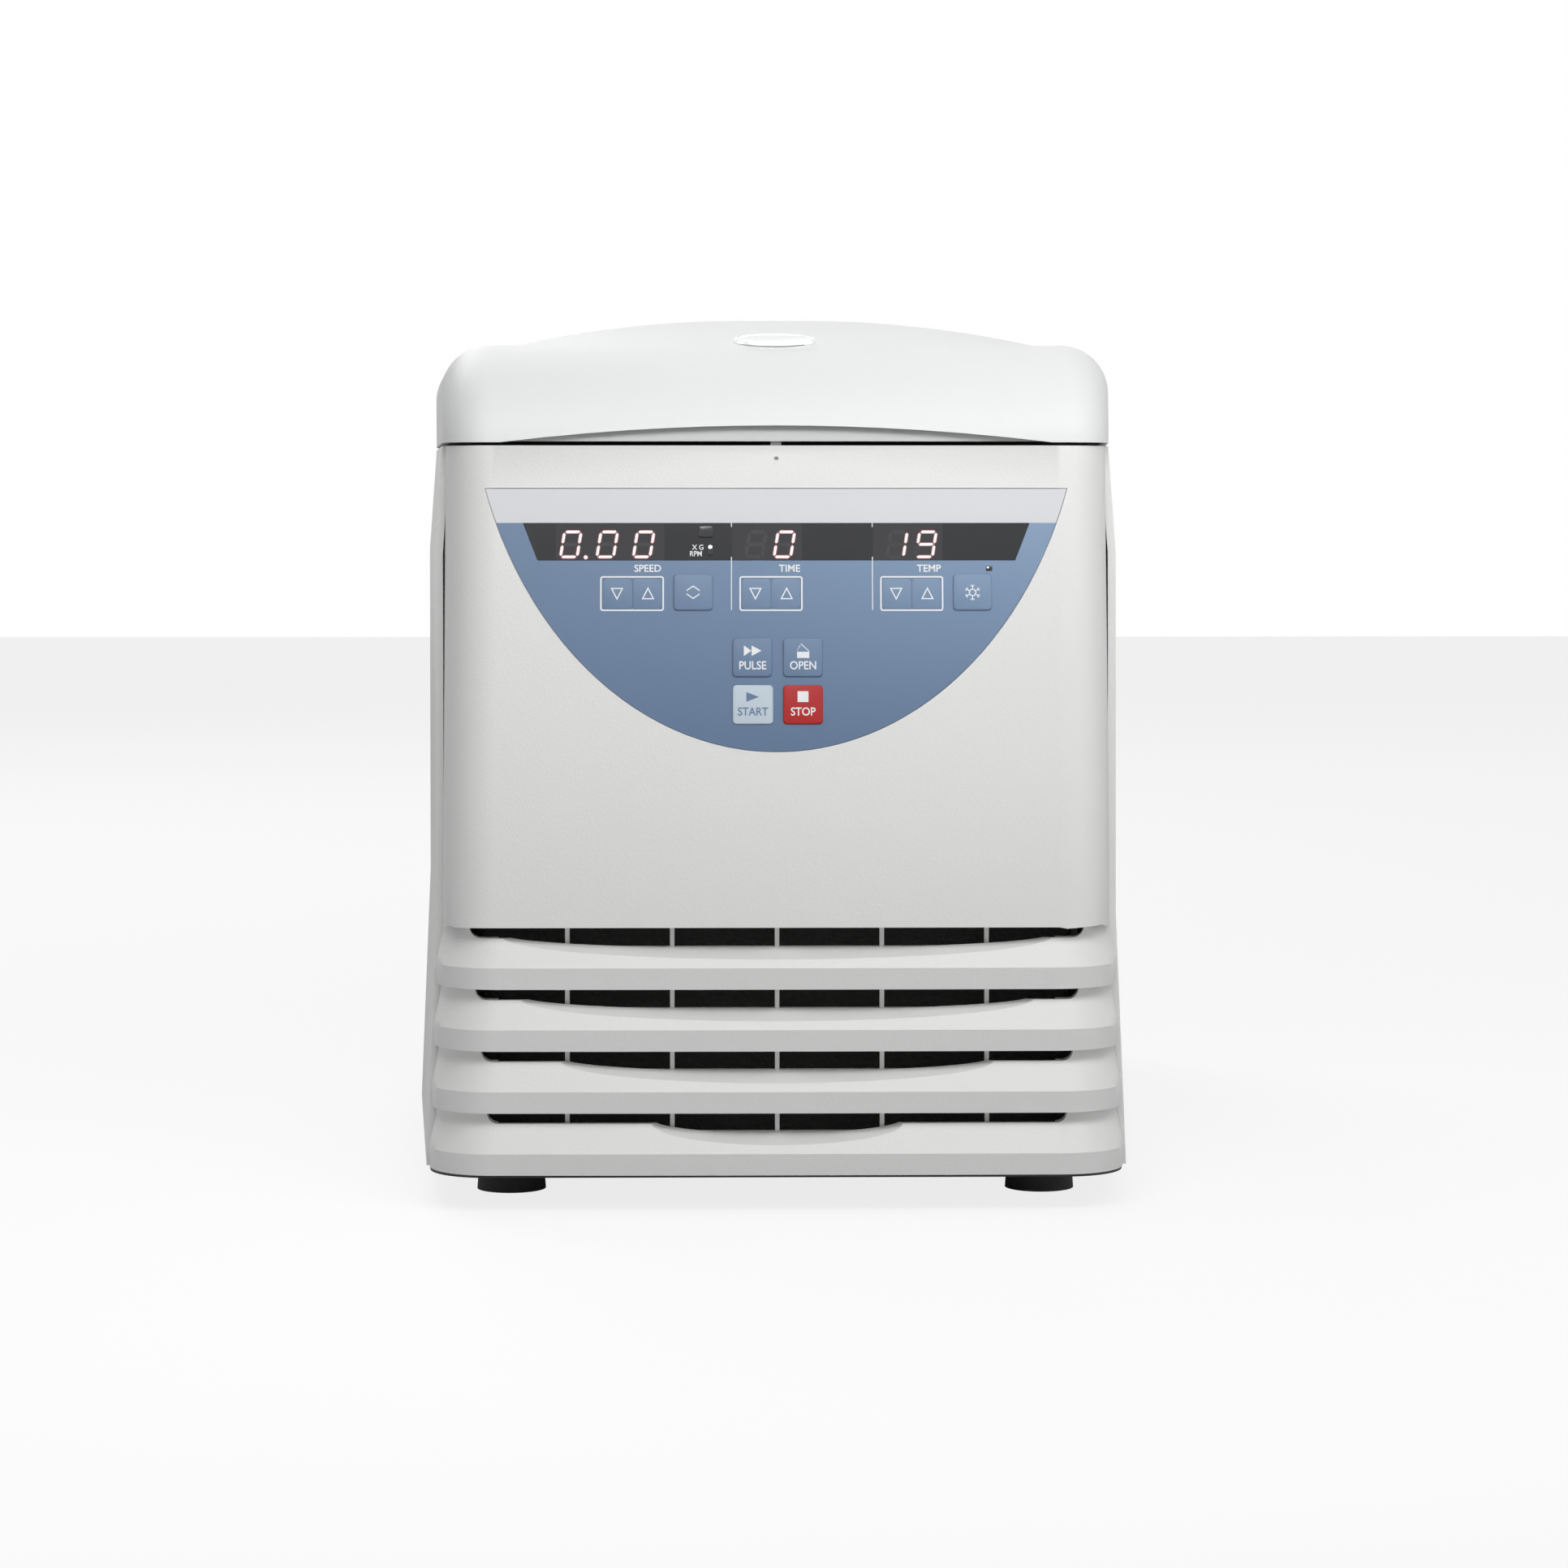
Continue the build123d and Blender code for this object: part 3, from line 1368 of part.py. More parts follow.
with BuildPart() as rotor_nut:
    with BuildSketch(Plane.XY.offset(hub_top_z)):
        with Locations((0, axis_y)):
            RegularPolygon(nut_radius, 6)
            Circle(shaft_radius + running_gap, mode=Mode.SUBTRACT)
    extrude(amount=nut_high)
save(rotor_nut.part, "rotor_nut")

# Rotor lid: a disc on the rotor's rim with a spigot inside it and a lifting knob
spigot_radius = rim_inner - lid_spigot_gap
disc_z = rotor_rim_z + lid_disc_thick
with BuildPart() as rotor_lid:
    with BuildSketch(Plane.XZ.offset(-axis_y)):
        with BuildLine():
            Polyline(
                (0, rotor_rim_z),
                (spigot_radius - lid_spigot_width, rotor_rim_z),
                (spigot_radius - lid_spigot_width, rotor_rim_z - lid_spigot_high),
                (spigot_radius, rotor_rim_z - lid_spigot_high),
                (spigot_radius, rotor_rim_z),
                (rim_inner + lid_disc_overlap, rotor_rim_z),
                (rim_inner + lid_disc_overlap, disc_z),
                (lid_cone_radius, disc_z + lid_cone_rise),
                (knob_neck_radius, disc_z + lid_cone_rise),
                (knob_neck_radius, disc_z + knob_neck_rise),
                (knob_radius, disc_z + knob_flare_rise),
                (knob_radius, rotor_rim_z + knob_high),
                (0, rotor_rim_z + knob_high),
                close=True,
            )
        make_face()
    revolve(axis=Axis((0, axis_y, 0), (0, 0, 1)))
save(rotor_lid.part, "rotor_lid")

# Latch under the deck: a guide block and a bolt that slides into the striker's eye
bolt_tip_x = striker_thick / 2 + bolt_retreat
latch_block_low_z = bolt_z - bolt_radius - latch_block_floor
with BuildPart() as latch_housing:
    with BuildSketch(Plane.YZ.offset(latch_slot_half_x + latch_block_gap)):
        with Locations((latch_y, (deck_low_z + latch_block_low_z) / 2)):
            Rectangle(2 * latch_slot_half_y, deck_low_z - latch_block_low_z)
        with Locations((latch_y, bolt_z)):
            Circle(bolt_radius + running_gap, mode=Mode.SUBTRACT)
    extrude(amount=latch_block_length)
save(latch_housing.part, "latch_housing")

with BuildPart() as latch_bolt:
    with BuildSketch(Plane.YZ.offset(bolt_tip_x)):
        with Locations((latch_y, bolt_z)):
            Circle(bolt_radius)
    extrude(amount=latch_block_length + latch_slot_half_x + bolt_travel)
    chamfer(latch_bolt.edges().sort_by(Axis.X)[0], length=bolt_chamfer)
save(latch_bolt.part, "latch_bolt")

# Cooling: condenser and fan behind the louvres, compressor at the back, pipes and drier between
with BuildPart() as condenser:
    with BuildSketch(Plane.XZ.offset(-condenser_y)):
        with Locations((0, base_z + condenser_high / 2)):
            Rectangle(condenser_width, condenser_high)
    extrude(amount=-condenser_deep)
    with BuildSketch(Plane.XZ.offset(-condenser_y)):
        with Locations((0, base_z + condenser_high / 2)):
            with GridLocations(fin_pitch, 1, fin_count, 1):
                Rectangle(fin_pitch / 2, condenser_high - 2 * condenser_rim)
    extrude(amount=-fin_depth, mode=Mode.SUBTRACT)
save(condenser.part, "condenser")

fan_y = condenser_y + condenser_deep
fan_mid_z = base_z + fan_size / 2
with BuildPart() as fan_frame:
    with BuildSketch(Plane.XZ.offset(-fan_y)):
        with Locations((0, fan_mid_z)):
            RectangleRounded(fan_size, fan_size, fan_corner)
            Circle(fan_bore, mode=Mode.SUBTRACT)
    extrude(amount=-fan_deep)
    with BuildSketch(Plane.XZ.offset(-fan_y - fan_deep + fan_spoke_thick)):
        with Locations((0, fan_mid_z)):
            Circle(fan_hub)
            Rectangle(2 * (fan_bore + cut_margin), fan_spoke)
            Rectangle(fan_spoke, 2 * (fan_bore + cut_margin))
    extrude(amount=-fan_spoke_thick)
    with BuildSketch(Plane.XZ.offset(-fan_y - 2 * impeller_gap)):
        with Locations((0, fan_mid_z)):
            Circle(fan_pin)
    extrude(amount=-fan_deep + 2 * impeller_gap + fan_spoke_thick)
save(fan_frame.part, "fan_frame")

vane_tip = fan_bore - impeller_gap
vane_root = fan_hub - vane_thick / 2
hub_deep = fan_deep - fan_spoke_thick - 1.5 * impeller_gap
vane_plane = Plane(
    origin=(0, fan_y + impeller_gap + hub_deep / 2, fan_mid_z),
    x_dir=(1, 0, 0),
    z_dir=(0, -1, 0),
)
with BuildPart() as fan_impeller:
    with BuildSketch(Plane.XZ.offset(-fan_y - impeller_gap)):
        with Locations((0, fan_mid_z)):
            Circle(fan_hub)
            Circle(fan_pin + running_gap, mode=Mode.SUBTRACT)
    extrude(amount=-hub_deep)
    with Locations(vane_plane):
        with PolarLocations(0, vane_count):
            with Locations(Location(((vane_root + vane_tip) / 2, 0, 0), (vane_pitch, 0, 0))):
                Box(vane_tip - vane_root, vane_thick, vane_chord)
save(fan_impeller.part, "fan_impeller")

compressor_low_z = base_z + compressor_foot_high
compressor_foot_pitch = 2 * (compressor_radius - compressor_foot_inset)
with BuildPart() as compressor:
    with BuildSketch(Plane.XY.offset(compressor_low_z)):
        with Locations((compressor_x, compressor_y)):
            Circle(compressor_radius)
    extrude(amount=compressor_high)
    fillet(compressor.edges().group_by(Axis.Z)[-1], radius=compressor_crown)
    with BuildSketch(Plane.XY.offset(base_z)):
        with Locations((compressor_x, compressor_y)):
            with GridLocations(compressor_foot_pitch, compressor_foot_pitch, 2, 2):
                Circle(compressor_foot_radius)
    extrude(amount=compressor_foot_high)
    with BuildSketch(Plane.XY.offset(compressor_low_z)):
        with Locations((compressor_x, compressor_y)):
            RectangleRounded(2 * compressor_radius, 2 * compressor_radius, compressor_tray_corner)
    extrude(amount=compressor_tray)
save(compressor.part, "compressor")

start_z = compressor_low_z + compressor_high
drop_y = fan_y + fan_deep + pipe_clear
core_y = condenser_y + condenser_deep / 2
outer_x = condenser_width / 2 + pipe_standoff + pipe_step
with BuildPart() as refrigerant_lines:
    for index in range(2):
        path_x = compressor_x + pipe_spread * (1 - 2 * index)
        run_x = outer_x - pipe_step * index
        high_z = start_z + pipe_rise + pipe_step * index
        low_z = base_z + condenser_high - 2 * pipe_radius - pipe_tap_step * index
        with BuildLine() as route:
            FilletPolyline(
                (path_x, compressor_y, start_z),
                (path_x, compressor_y, high_z),
                (run_x, compressor_y, high_z),
                (run_x, drop_y, high_z),
                (run_x, drop_y, low_z),
                (run_x, core_y, low_z),
                (condenser_width / 2, core_y, low_z),
                radius=pipe_bend,
            )
        with BuildSketch(Plane(origin=(path_x, compressor_y, start_z), z_dir=(0, 0, 1))):
            Circle(pipe_radius)
        sweep(path=route.line)
save(refrigerant_lines.part, "refrigerant_lines")

# Power and control electronics on an upright board
board_face = Plane.YZ.offset(main_board_x + main_board_thick)
with BuildPart() as main_board:
    with BuildSketch(Plane.YZ.offset(main_board_x)):
        with Locations((main_board_y, base_z + main_board_high / 2)):
            Rectangle(main_board_long, main_board_high)
    extrude(amount=main_board_thick)
    with BuildSketch(board_face):
        with Locations((main_board_y, base_z + board_part_lift)):
            with GridLocations(2 * board_part_step, 1, 2, 1):
                Rectangle(board_part_width, board_part_high)
    extrude(amount=board_part_deep)
    with BuildSketch(board_face):
        with Locations((main_board_y, base_z + board_coil_lift)):
            with GridLocations(2 * board_part_step, 1, 2, 1):
                Circle(board_coil_radius)
    extrude(amount=board_coil_deep)
save(main_board.part, "main_board")
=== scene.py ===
"""Dresses the cooled microcentrifuge: casing, printed keypad, lit display, fasteners and a soft studio."""

import logging
import math
from dataclasses import dataclass, field
from enum import Enum
from functools import cache

import bmesh
import bpy
from mathutils import Matrix, Vector


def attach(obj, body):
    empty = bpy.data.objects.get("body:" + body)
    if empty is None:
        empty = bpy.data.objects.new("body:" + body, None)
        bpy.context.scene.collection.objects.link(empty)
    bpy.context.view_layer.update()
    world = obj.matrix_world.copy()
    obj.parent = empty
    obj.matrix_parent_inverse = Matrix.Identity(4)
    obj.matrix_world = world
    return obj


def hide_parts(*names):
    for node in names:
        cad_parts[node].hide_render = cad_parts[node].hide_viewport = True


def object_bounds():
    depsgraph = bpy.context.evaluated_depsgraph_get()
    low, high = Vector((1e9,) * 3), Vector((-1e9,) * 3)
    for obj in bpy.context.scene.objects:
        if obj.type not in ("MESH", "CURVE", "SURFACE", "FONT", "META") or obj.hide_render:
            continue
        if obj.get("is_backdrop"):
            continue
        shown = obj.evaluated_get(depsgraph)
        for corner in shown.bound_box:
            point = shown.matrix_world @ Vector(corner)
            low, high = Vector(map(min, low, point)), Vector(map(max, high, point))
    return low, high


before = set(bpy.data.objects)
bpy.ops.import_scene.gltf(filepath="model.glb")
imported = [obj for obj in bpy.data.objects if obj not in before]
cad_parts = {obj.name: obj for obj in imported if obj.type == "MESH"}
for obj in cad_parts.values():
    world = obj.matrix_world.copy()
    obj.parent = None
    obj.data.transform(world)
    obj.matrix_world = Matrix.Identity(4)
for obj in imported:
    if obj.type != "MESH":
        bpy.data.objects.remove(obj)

LOG = logging.getLogger("microcentrifuge")
MM = 0.001
HEIGHT_ONLY = {"Height": "NodeSocketFloat"}
Point = tuple[float, float]
Colour = tuple[float, float, float]
Node = bpy.types.Node
NodeTree = bpy.types.NodeTree


def srgb(red: float, green: float, blue: float) -> Colour:
    """Turns a display colour of 0 to 255 into the linear colour that shaders take.

    Args:
        red: Red as it shows on a screen.
        green: Green as it shows on a screen.
        blue: Blue as it shows on a screen.

    Returns:
        The linear red, green and blue, each from 0 to 1.
    """

    def linear(value: float) -> float:
        """One channel, from display value to linear light."""
        part = value / 255
        return part / 12.92 if part <= 0.04045 else ((part + 0.055) / 1.055) ** 2.4

    return (linear(red), linear(green), linear(blue))


class Axis(Enum):
    """Direction of the fine lines on a worked metal."""

    ALONG_X = "along_x"
    ALONG_Z = "along_z"
    SPUN = "spun"


class Graph:
    """Short ways to add nodes and links to a node tree."""

    def __init__(self, tree: NodeTree) -> None:
        """Wraps a tree."""
        self.tree = tree

    @classmethod
    def group(cls, name: str, inputs: dict, outputs: dict) -> tuple["Graph", Node, Node]:
        """Makes an empty shader group with its sockets.

        Args:
            name: Name of the group.
            inputs: Default of each input, by name: a number, three for a vector or four for a colour.
            outputs: Socket type of each output, by name.

        Returns:
            The graph of the new group, its input node and its output node.
        """
        tree = bpy.data.node_groups.new(name, "ShaderNodeTree")
        for label, value in inputs.items():
            size = len(value) if isinstance(value, tuple) else 1
            kind = {1: "NodeSocketFloat", 3: "NodeSocketVector", 4: "NodeSocketColor"}[size]
            tree.interface.new_socket(label, in_out="INPUT", socket_type=kind).default_value = value
        for label, kind in outputs.items():
            tree.interface.new_socket(label, in_out="OUTPUT", socket_type=kind)
        graph = cls(tree)
        return graph, graph.add("NodeGroupInput"), graph.add("NodeGroupOutput")

    def add(self, kind: str, inputs: dict | None = None, **settings: object) -> Node:
        """Adds one node.

        Args:
            kind: The node's type.
            inputs: Values of its inputs, by name or number.
            **settings: Values of its properties.

        Returns:
            The new node.
        """
        node = self.tree.nodes.new(kind)
        for name, value in settings.items():
            setattr(node, name, value)
        for socket, value in (inputs or {}).items():
            node.inputs[socket].default_value = value
        return node

    def math(self, operation: str, second: float | None = None) -> Node:
        """Adds a Math node, with its second input where one is given."""
        return self.add("ShaderNodeMath", {} if second is None else {1: second}, operation=operation)

    def vector(self, operation: str) -> Node:
        """Adds a Vector Math node."""
        return self.add("ShaderNodeVectorMath", operation=operation)

    def link(self, *links: tuple) -> None:
        """Joins sockets.

        Args:
            *links: Source node, its output, target node and its input, for each link.
        """
        for source, output, target, entry in links:
            self.tree.links.new(source.outputs[output], target.inputs[entry])


class Effect:
    """Shader node groups that several finishes share, each built once."""

    @staticmethod
    @cache
    def grain() -> NodeTree:
        """Leather grain of a moulded casing: rounded cells over fine noise, as a height."""
        graph, given, made = Graph.group("grain", {"Scale": 900.0, "Fine": 0.4}, HEIGHT_ONLY)
        place = graph.add("ShaderNodeTexCoord")
        cells = graph.add("ShaderNodeTexVoronoi", feature="SMOOTH_F1")
        noise = graph.add("ShaderNodeTexNoise", {"Detail": 3.0})
        finer = graph.math("MULTIPLY", 2.3)
        part = graph.math("MULTIPLY")
        whole = graph.math("ADD")
        graph.link(
            (place, "Object", cells, "Vector"),
            (place, "Object", noise, "Vector"),
            (given, "Scale", cells, "Scale"),
            (given, "Scale", finer, 0),
            (finer, 0, noise, "Scale"),
            (noise, "Fac", part, 0),
            (given, "Fine", part, 1),
            (cells, "Distance", whole, 0),
            (part, 0, whole, 1),
            (whole, 0, made, "Height"),
        )
        return graph.tree

    @staticmethod
    @cache
    def mottle() -> NodeTree:
        """Slow unevenness of a real surface, as a colour and a roughness that wander a little."""
        graph, given, made = Graph.group(
            "mottle",
            {"Colour": (0.8, 0.8, 0.8, 1.0), "Amount": 0.05, "Scale": 14.0, "Roughness": 0.5},
            {"Colour": "NodeSocketColor", "Roughness": "NodeSocketFloat"},
        )
        place = graph.add("ShaderNodeTexCoord")
        noise = graph.add("ShaderNodeTexNoise", {"Detail": 5.0})
        centred = graph.math("SUBTRACT", 0.5)
        swing = graph.math("MULTIPLY")
        lift = graph.math("ADD", 1.0)
        shade = graph.vector("SCALE")
        rough = graph.math("ADD")
        graph.link(
            (place, "Object", noise, "Vector"),
            (given, "Scale", noise, "Scale"),
            (noise, "Fac", centred, 0),
            (centred, 0, swing, 0),
            (given, "Amount", swing, 1),
            (swing, 0, lift, 0),
            (given, "Colour", shade, 0),
            (lift, 0, shade, "Scale"),
            (given, "Roughness", rough, 0),
            (swing, 0, rough, 1),
            (shade, 0, made, "Colour"),
            (rough, 0, made, "Roughness"),
        )
        return graph.tree

    @staticmethod
    @cache
    def lines() -> NodeTree:
        """Fine drawn lines of a worked metal, as a height: noise stretched by a vector."""
        graph, given, made = Graph.group("lines", {"Stretch": (1.0, 1.0, 1.0), "Scale": 1.0}, HEIGHT_ONLY)
        place = graph.add("ShaderNodeTexCoord")
        stretch = graph.vector("MULTIPLY")
        noise = graph.add("ShaderNodeTexNoise", {"Detail": 4.0})
        graph.link(
            (place, "Object", stretch, 0),
            (given, "Stretch", stretch, 1),
            (stretch, 0, noise, "Vector"),
            (given, "Scale", noise, "Scale"),
            (noise, "Fac", made, "Height"),
        )
        return graph.tree

    @staticmethod
    @cache
    def rings() -> NodeTree:
        """Fine turning marks about an upright axis, as a height that changes with the radius."""
        graph, given, made = Graph.group("rings", {"Centre": (0.0, 0.0, 0.0), "Scale": 4000.0}, HEIGHT_ONLY)
        place = graph.add("ShaderNodeTexCoord")
        offset = graph.vector("SUBTRACT")
        flat = graph.add("ShaderNodeVectorMath", {1: (1.0, 1.0, 0.0)}, operation="MULTIPLY")
        radius = graph.vector("LENGTH")
        axis = graph.add("ShaderNodeSeparateXYZ")
        both = graph.math("ADD")
        noise = graph.add("ShaderNodeTexNoise", {"Detail": 2.0}, noise_dimensions="1D")
        graph.link(
            (place, "Object", offset, 0),
            (given, "Centre", offset, 1),
            (offset, 0, flat, 0),
            (flat, 0, radius, 0),
            (offset, 0, axis, 0),
            (radius, "Value", both, 0),
            (axis, "Z", both, 1),
            (both, 0, noise, "W"),
            (given, "Scale", noise, "Scale"),
            (noise, "Fac", made, "Height"),
        )
        return graph.tree


@dataclass(frozen=True)
class Finish:
    """One finish: a colour, how it takes light, and the grain or marks in it."""

    name: str
    colour: Colour
    roughness: float = 0.5
    metallic: float = 0.0
    specular: float = 0.5
    coat: float = 0.0
    mottle: float = 0.04
    mottle_scale: float = 14.0
    grain_scale: float = 900.0
    grain_depth: float = 0.0
    marks: Axis | None = None
    mark_scale: float = 1.0
    mark_depth: float = 0.0
    glow: float = 0.0

    def material(self) -> bpy.types.Material:
        """Returns this finish as a material, made on its first use."""
        found = bpy.data.materials.get(self.name)
        return found if found else self._make()

    def _make(self) -> bpy.types.Material:
        """Builds the material's nodes."""
        made = bpy.data.materials.new(self.name)
        made.use_nodes = True
        graph = Graph(made.node_tree)
        shader = made.node_tree.nodes["Principled BSDF"]
        shader.inputs["Metallic"].default_value = self.metallic
        shader.inputs["Specular IOR Level"].default_value = self.specular
        shader.inputs["Coat Weight"].default_value = self.coat
        self.dress_colour(graph, shader)
        if self.glow:
            shader.inputs["Emission Color"].default_value = (*self.colour, 1.0)
            shader.inputs["Emission Strength"].default_value = self.glow
        self._dress_relief(graph, shader)
        return made

    def dress_colour(self, graph: Graph, shader: Node) -> None:
        """Feeds the shader's colour and roughness.

        Args:
            graph: The material's nodes.
            shader: The Principled shader in them.
        """
        values = {
            "Colour": (*self.colour, 1.0),
            "Amount": self.mottle,
            "Scale": self.mottle_scale,
            "Roughness": self.roughness,
        }
        mottle = graph.add("ShaderNodeGroup", values, node_tree=Effect.mottle())
        graph.link((mottle, "Colour", shader, "Base Color"), (mottle, "Roughness", shader, "Roughness"))

    def _dress_relief(self, graph: Graph, shader: Node) -> None:
        """Feeds the shader's normal with grain and tool marks where the finish has them."""
        last = None
        if self.grain_depth:
            grain = graph.add("ShaderNodeGroup", {"Scale": self.grain_scale}, node_tree=Effect.grain())
            last = self._bump(graph, grain, self.grain_depth, last)
        if self.marks is Axis.SPUN:
            values = {"Centre": ROTOR_CENTRE, "Scale": self.mark_scale}
            marks = graph.add("ShaderNodeGroup", values, node_tree=Effect.rings())
            last = self._bump(graph, marks, self.mark_depth, last)
        elif self.marks:
            values = {"Stretch": LINE_STRETCH[self.marks], "Scale": self.mark_scale}
            marks = graph.add("ShaderNodeGroup", values, node_tree=Effect.lines())
            last = self._bump(graph, marks, self.mark_depth, last)
        if last:
            graph.link((last, "Normal", shader, "Normal"))

    @staticmethod
    def _bump(
        graph: Graph, source: Node, depth: float, last: Node | None
    ) -> Node:
        """Adds one layer of relief.

        Args:
            graph: The material's nodes.
            source: Node whose Height gives the relief.
            depth: Height of the relief in metres.
            last: The layer under this one, if any.

        Returns:
            The new bump node.
        """
        bump = graph.add("ShaderNodeBump", {"Strength": 1.0, "Distance": depth})
        graph.link((source, "Height", bump, "Height"))
        if last:
            graph.link((last, "Normal", bump, "Normal"))
        return bump


ROTOR_CENTRE = (0.0, -0.036, 0.2)
LINE_STRETCH = {Axis.ALONG_X: (60.0, 6000.0, 6000.0), Axis.ALONG_Z: (6000.0, 6000.0, 60.0)}


def moulded(name: str, colour: Colour, roughness: float, scale: float, depth: float, **more: float) -> Finish:
    """A moulded or painted finish, with grain of this scale and depth."""
    return Finish(name, colour, roughness, grain_scale=scale, grain_depth=depth, **more)


def powder(name: str, colour: Colour, roughness: float) -> Finish:
    """A powder coat on sheet steel."""
    return moulded(name, colour, roughness, 2200.0, 0.00003)


def worked(name: str, colour: Colour, roughness: float, marks: Axis, **more: float) -> Finish:
    """A bare metal with the marks of its working."""
    return Finish(name, colour, roughness, **{"metallic": 1.0, "marks": marks, "mark_depth": 0.00001, **more})


CASING = moulded("casing_grained", (0.80, 0.805, 0.79), 0.42, 1100.0, 0.00005, mottle=0.03)
HOOD = moulded("hood_moulding", (0.80, 0.805, 0.805), 0.5, 1400.0, 0.00001, mottle=0.02)
LINER = moulded("liner_moulding", (0.55, 0.56, 0.56), 0.5, 1200.0, 0.00002)
# Near-black base plate: painted shade for the shadowed gap under the unit.
BASE_PAINTED_SHADE = powder("base_plate_painted_shade", (0.03, 0.03, 0.032), 0.55)
REAR_STEEL = powder("rear_powder_coat", (0.66, 0.67, 0.66), 0.5)
DECK_STEEL = powder("deck_powder_coat", (0.60, 0.61, 0.61), 0.45)
RUBBER = moulded("rubber", (0.025, 0.025, 0.026), 0.75, 2600.0, 0.00003, specular=0.3)
CHROME = Finish("chrome", (0.62, 0.62, 0.66), 0.12, metallic=1.0, mottle=0.02)
STAINLESS = worked("spun_stainless", (0.66, 0.66, 0.65), 0.28, Axis.SPUN, mark_scale=3200.0)
ALUMINIUM = worked("turned_aluminium", (0.62, 0.63, 0.65), 0.32, Axis.SPUN, mark_scale=2600.0)
ANODISED = worked("anodised_lid", (0.42, 0.44, 0.48), 0.35, Axis.SPUN, mark_scale=2200.0)
STEEL = worked("machined_steel", (0.50, 0.50, 0.51), 0.33, Axis.ALONG_X, mark_depth=0.000006)
FIN_STOCK = worked("fin_stock", (0.60, 0.61, 0.62), 0.4, Axis.ALONG_Z)
COPPER = worked("copper_tube", (0.72, 0.36, 0.20), 0.3, Axis.ALONG_Z, mottle=0.15)
# Black moulding of the real black parts, also used as painted shade in the screw recesses.
BLACK_MOULDING_AND_SHADE = moulded("black_moulding_and_painted_shade", (0.018, 0.018, 0.019), 0.4, 2000.0, 0.00002)
MOTOR_PAINT = moulded("motor_paint", (0.10, 0.105, 0.115), 0.45, 1800.0, 0.00003)
COMPRESSOR_PAINT = moulded("compressor_paint", (0.012, 0.012, 0.012), 0.2, 500.0, 0.00003, coat=0.4)
FOAM = moulded("closed_cell_foam", (0.60, 0.55, 0.38), 0.85, 700.0, 0.0002, mottle=0.2, mottle_scale=60.0)
BOARD = moulded("solder_mask", (0.01, 0.09, 0.03), 0.3, 1500.0, 0.00001, mottle=0.15, mottle_scale=120.0)
LENS_BAND = moulded("smoked_window", srgb(36, 37, 41), 0.22, 3000.0, 0.000002, specular=0.4, mottle=0.06)
LENS_WINDOW = Finish("clear_window", srgb(50, 50, 54), 0.08, specular=0.55, mottle=0.1, mottle_scale=40.0)
WHITE_INK = Finish("white_ink", srgb(240, 242, 245), 0.45, mottle=0.02)
BLUE_INK = Finish("blue_ink", srgb(98, 122, 154), 0.45, mottle=0.03)
START_FILM = moulded("start_film", srgb(196, 209, 220), 0.35, 4200.0, 0.000006, mottle=0.03)
STOP_FILM = moulded("stop_film", srgb(172, 16, 12), 0.35, 4200.0, 0.000006, mottle=0.05)
DIGIT_LIT = Finish("segment_lit", srgb(244, 230, 230), 0.4, glow=0.6, mottle=0.05, mottle_scale=400.0)
DIGIT_EDGE = Finish("segment_edge", srgb(196, 150, 150), 0.4, glow=0.25, mottle=0.1, mottle_scale=400.0)
DIGIT_DARK = Finish("segment_unlit", srgb(50, 48, 52), 0.25, mottle=0.1, mottle_scale=400.0)
LAMP_LIT = Finish("lamp_lit", srgb(255, 255, 246), 0.3, glow=1.0, mottle=0.02)
GLASS_DARK = Finish("lamp_dark", srgb(24, 24, 26), 0.12, coat=0.6, mottle=0.1)
FILTER_MESH = moulded("filter_mesh", (0.012, 0.010, 0.009), 0.6, 900.0, 0.0004)
# The clear port is given an opaque near-white colour: a painted reflection of the bright surroundings.
PORT_PAINTED_REFLECTION = Finish("port_lens_painted_reflection", (0.90, 0.91, 0.92), 0.05, coat=1.0, mottle=0.03)


@dataclass(frozen=True)
class FilmFinish(Finish):
    """Keypad film: a printed pale strip over a blue ground that is lighter upwards and towards the right."""

    strip: Colour = srgb(216, 218, 222)
    strip_edge_z: float = 0.2515
    low_z: float = 0.166
    half_width: float = 0.12
    left_share: float = 0.25
    high: Colour = srgb(132, 157, 186)

    def dress_colour(self, graph: Graph, shader: Node) -> None:
        """Feeds the colours by height and side: the printed pale strip, and below it a blue ground lighter
        upwards and towards the right.

        Args:
            graph: The material's nodes.
            shader: The Principled shader in them.
        """
        place = graph.add("ShaderNodeTexCoord")
        part = graph.add("ShaderNodeSeparateXYZ")
        # The blue ground is mixed lighter upwards and towards the right.
        rise = graph.add("ShaderNodeMapRange", {"From Min": self.low_z, "From Max": self.strip_edge_z})
        across = {"From Min": -self.half_width, "From Max": self.half_width, "To Min": self.left_share}
        side = graph.add("ShaderNodeMapRange", across)
        both = graph.math("MULTIPLY")
        blues = {"A": (*self.colour, 1.0), "B": (*self.high, 1.0)}
        ground = graph.add("ShaderNodeMix", blues, data_type="RGBA")
        above = graph.math("GREATER_THAN", self.strip_edge_z)
        printed = graph.add("ShaderNodeMix", {"B": (*self.strip, 1.0)}, data_type="RGBA")
        values = {"Amount": self.mottle, "Roughness": self.roughness}
        mottle = graph.add("ShaderNodeGroup", values, node_tree=Effect.mottle())
        graph.link(
            (place, "Object", part, 0),
            (part, "Z", rise, "Value"),
            (part, "X", side, "Value"),
            (rise, "Result", both, 0),
            (side, "Result", both, 1),
            (both, 0, ground, "Factor"),
            (part, "Z", above, 0),
            (above, 0, printed, "Factor"),
            (ground, "Result", printed, "A"),
            (printed, "Result", mottle, "Colour"),
            (mottle, "Colour", shader, "Base Color"),
            (mottle, "Roughness", shader, "Roughness"),
        )


FILM = FilmFinish(
    "printed_film", srgb(92, 115, 146), 0.38, mottle=0.03, grain_scale=4200.0, grain_depth=0.000006
)


